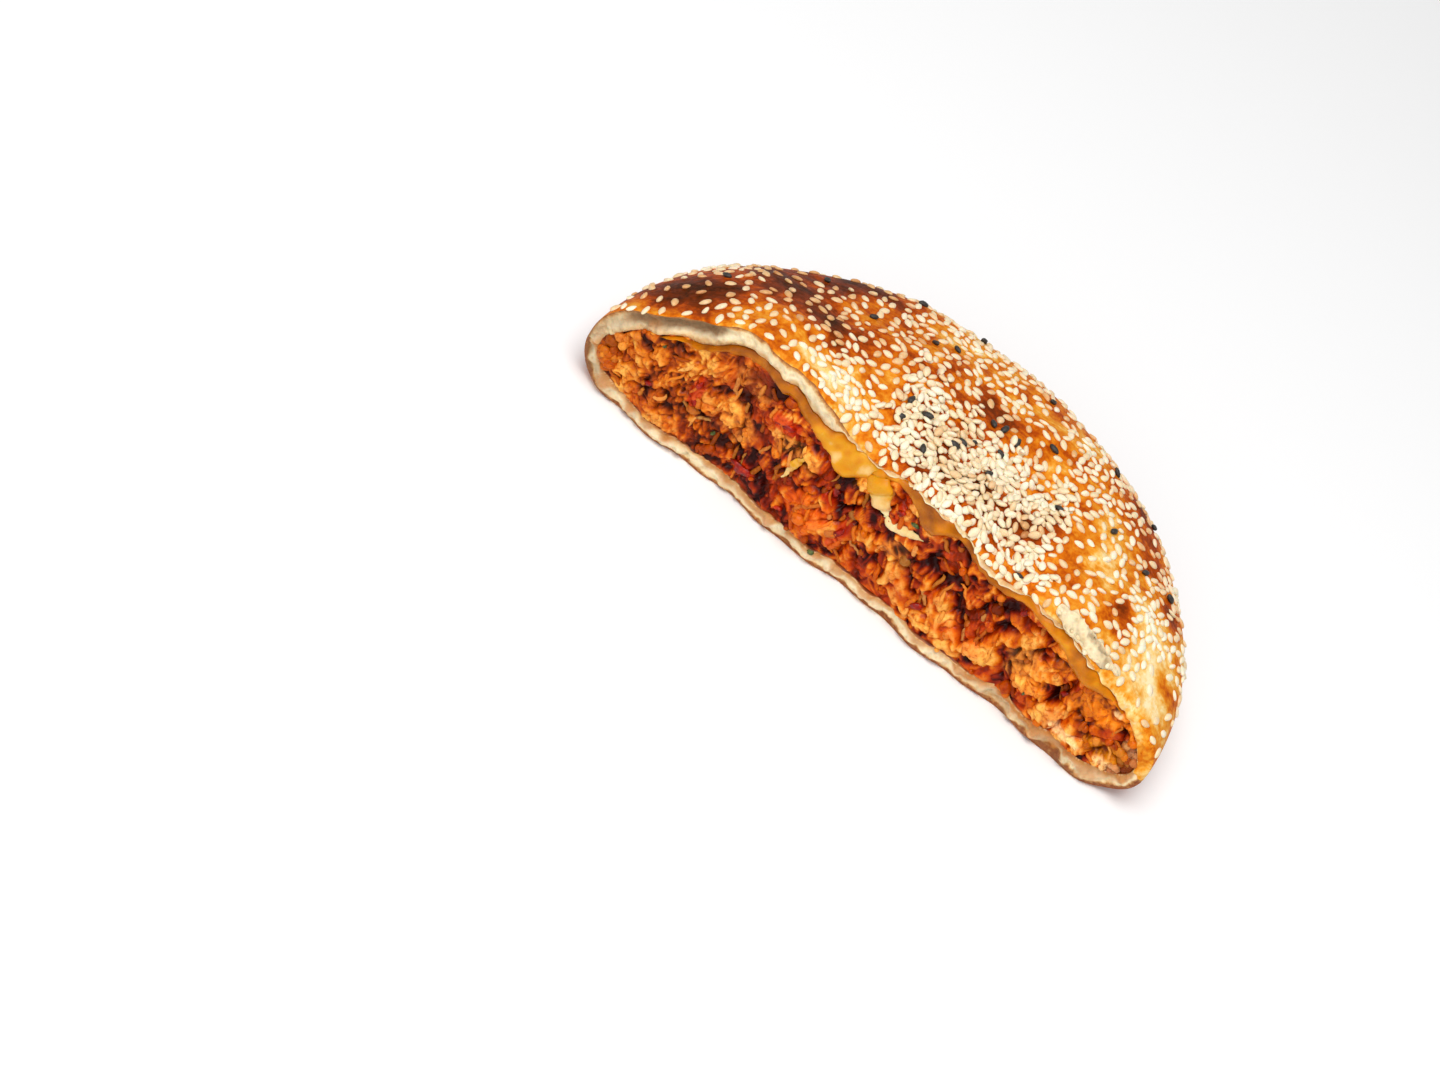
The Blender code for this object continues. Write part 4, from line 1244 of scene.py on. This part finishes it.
def makeSeeds():
    # the solids' seeds, draws that stand clear of them and of each other, a second layer where they
    # are crowded, and the black ones at their named places
    chance = np.random.default_rng(17)
    (solidX, solidY), solidTurns = solidSeedPlaces()
    blackX, blackY = np.array(seeds["black"]).T
    # more draws near the rim, where the skin stands steep
    count = seeds["draws"]
    reach = chance.uniform(0.0, 1.0, count) ** 0.45 * 0.985
    angle = chance.uniform(0.0, math.pi, count)
    x = pie["tipReach"] * reach * np.cos(angle)
    y = np.maximum(pie["depth"] * reach * np.sin(angle), 0.5)
    edge = chance.uniform(0.0, 1.0, count) < seeds["edgeShare"]
    start, end = seeds["edgePlaces"]
    x = np.where(edge, chance.uniform(start, end, count), x)
    y = np.where(edge, chance.uniform(0.05, 1.0, count), y)
    spacing = seeds["spacing"] * np.exp(-crowding(x, y)) * chance.uniform(0.8, 1.25, count)
    taken = np.concatenate([surface(skinTop, solidX, solidY), surface(skinTop, blackX, blackY)])
    chosen = thinOut(surface(skinTop, x, y), spacing, taken)
    x, y = np.concatenate([solidX, x[chosen]]), np.concatenate([solidY, y[chosen]])
    turns = np.concatenate([solidTurns, chance.uniform(0.0, 2.0 * math.pi, len(chosen))])
    tilt, roll = chance.normal(0.0, 0.2, len(x)), chance.normal(0.0, 0.35, len(x))
    lift = np.full(len(x), -seeds["sink"])
    # a second layer where they are crowded
    count = seeds["pileDraws"]
    px = chance.uniform(-20.0, 40.0, count)
    py = chance.uniform(0.8, 40.0, count)
    thick = crowding(px, py) > chance.uniform(0.15, 0.45, count)
    px, py = px[thick], py[thick]
    spacing = np.full(len(px), seeds["pileSpacing"])
    chosen = thinOut(surface(skinTop, px, py), spacing, [])[: seeds["pile"]]
    x, y = np.concatenate([x, px[chosen]]), np.concatenate([y, py[chosen]])
    turns = np.concatenate([turns, chance.uniform(0.0, 2.0 * math.pi, len(chosen))])
    tilt = np.concatenate([tilt, chance.normal(0.0, 0.3, len(chosen))])
    roll = np.concatenate([roll, chance.normal(0.0, 0.4, len(chosen))])
    lift = np.concatenate([lift, np.full(len(chosen), seeds["pileLift"])])

    shape, faces = seedShape(seeds["size"], seeds["rings"], 8, 2.4)
    placed = laySeeds(shape, x, y, turns, lift, chance.uniform(0.82, 1.12, len(x)), tilt, roll)
    # darker where the skin is browner, for more toast and as painted shade there; lighter where crowded
    toastAndShade = 0.18 + 0.75 * np.clip(browning(x, y) - 0.22, 0.0, 1.0) + chance.normal(0.0, 0.12, len(x))
    toastAndShade = np.clip(toastAndShade - 0.5 * np.clip(crowding(x, y), 0.0, 0.6), 0.0, 1.0)
    makeShapes("sesame_seeds", placed, faces, hulledSesame(), {"toastAndShade": toastAndShade})

    shape, faces = seedShape(seeds["blackSize"], seeds["blackRings"], 6, 1.6)
    # where the white ones are piled up, these lie on top
    lift = 0.5 + 1.0 * np.clip(crowding(blackX, blackY), 0.0, 1.0)
    count = len(blackX)
    turns = chance.uniform(0.0, 2.0 * math.pi, count)
    scale = chance.uniform(0.85, 1.15, count)
    tilt, roll = chance.normal(0.0, 0.2, count), chance.normal(0.0, 0.3, count)
    placed = laySeeds(shape, blackX, blackY, turns, lift, scale, tilt, roll)
    makeShapes("black_seeds", placed, faces, blackSeedHull())


# Studio and camera

studio = {
    "azimuth": 3.0,
    "elevation": 42.1,
    "roll": 36.6,
    "distance": 840.0,
    "target": (0.0, 1.0, 18.0),
    "focalPixels": 3293.0,  # focal length in pixels of an image as wide as this
    "imageWide": 1440.0,
    "targetRight": 224.7,  # how far right of the image's middle the target shows, in pixels
    "targetAbove": 79.9,
    "floorHalf": 4.0,  # metres from the floor's middle to its sides
    "floorBelow": 0.2,
    "world": 0.42,
    "keyPower": 7.6,
    "keyPlace": (-40.0, -270.0, 950.0),
    "keySize": 760.0,
    "fillPower": 3.2,
    "fillPlace": (-60.0, -1000.0, 420.0),
    "fillSize": 1000.0,
    "floor": "#f8f8f8",
}


def makeCamera():
    # looks at the target from its azimuth and elevation, rolled as the photo is, and turned a little
    # so that the target shows beside the image's middle
    a, e, r = (math.radians(studio[key]) for key in ("azimuth", "elevation", "roll"))
    back = Vector((math.sin(a) * math.cos(e), -math.cos(a) * math.cos(e), math.sin(e)))
    level = (-back).cross(Vector((0.0, 0.0, 1.0))).normalized()
    above = level.cross(-back)
    right = level * math.cos(r) + above * math.sin(r)
    up = above * math.cos(r) - level * math.sin(r)
    facing = Matrix((right, up, back)).transposed()
    aim = Vector((studio["targetRight"], studio["targetAbove"], -studio["focalPixels"])).normalized()
    facing = facing @ aim.rotation_difference(Vector((0.0, 0.0, -1.0))).to_matrix()
    lens = bpy.data.cameras.new("photo camera")
    lens.sensor_width = 36.0
    lens.lens = lens.sensor_width * studio["focalPixels"] / studio["imageWide"]
    lens.clip_start, lens.clip_end = 0.01, 50.0
    camera = bpy.data.objects.new("photo camera", lens)
    place = Vector(studio["target"]) + back * studio["distance"]
    camera.matrix_world = Matrix.Translation(place * mm) @ facing.to_4x4()
    bpy.context.scene.collection.objects.link(camera)
    bpy.context.scene.camera = camera
    print("camera placed")


def makeStudio():
    # a broad white floor, white surroundings, a soft lamp overhead, a little in front of the cut, and
    # a weaker one far in front of it
    made, _, _, shader = newMaterial("matt white floor")
    setInputs(shader, {"Roughness": 0.9, "Base Color": rgba(studio["floor"])})
    wide = studio["floorHalf"]
    mesh = bpy.data.meshes.new("studio_floor")
    corners = [(-wide, -wide, 0.0), (wide, -wide, 0.0), (wide, wide, 0.0), (-wide, wide, 0.0)]
    mesh.from_pydata(corners, [], [(0, 1, 2, 3)])
    mesh.materials.append(made)
    floor = bpy.data.objects.new("studio_floor", mesh)
    floor.location.z = -studio["floorBelow"] * mm
    bpy.context.scene.collection.objects.link(floor)
    world = bpy.data.worlds.new("studio surroundings")
    world.use_nodes = True
    surroundings = {"Color": (1.0, 1.0, 1.0, 1.0), "Strength": studio["world"]}
    setInputs(world.node_tree.nodes["Background"], surroundings)
    bpy.context.scene.world = world
    for part in ("key", "fill"):
        lamp = bpy.data.lights.new(f"{part} softbox", "AREA")
        lamp.shape = "DISK"
        lamp.size = studio[f"{part}Size"] * mm
        lamp.energy = studio[f"{part}Power"]
        softbox = bpy.data.objects.new(f"{part} softbox", lamp)
        softbox.location = Vector(studio[f"{part}Place"]) * mm
        softbox.rotation_euler = (-softbox.location).to_track_quat("-Z", "Y").to_euler()
        bpy.context.scene.collection.objects.link(softbox)
    bpy.context.scene.view_settings.view_transform = "Standard"
    print("studio built")


makeCamera()
makeStudio()
crumbFinish = breadCrumb()
makeBread(crumbFinish)
cheeseFinish = meltedCheese()
makeCheese(cheeseFinish)
curdFinish = eggAndTomato()
makeFilling(curdFinish)
makeCurds(curdFinish)
makeStrands(curdFinish)
makeBits("tomato_pieces", bits["tomato"], 0.8, stewedTomato(), 81)
makeBits("parsley_flecks", bits["herbs"], 0.45, cookedHerb(), 82)
makeThreads(cheeseFinish)
makeTornFlap(crumbFinish)
makeSeeds()
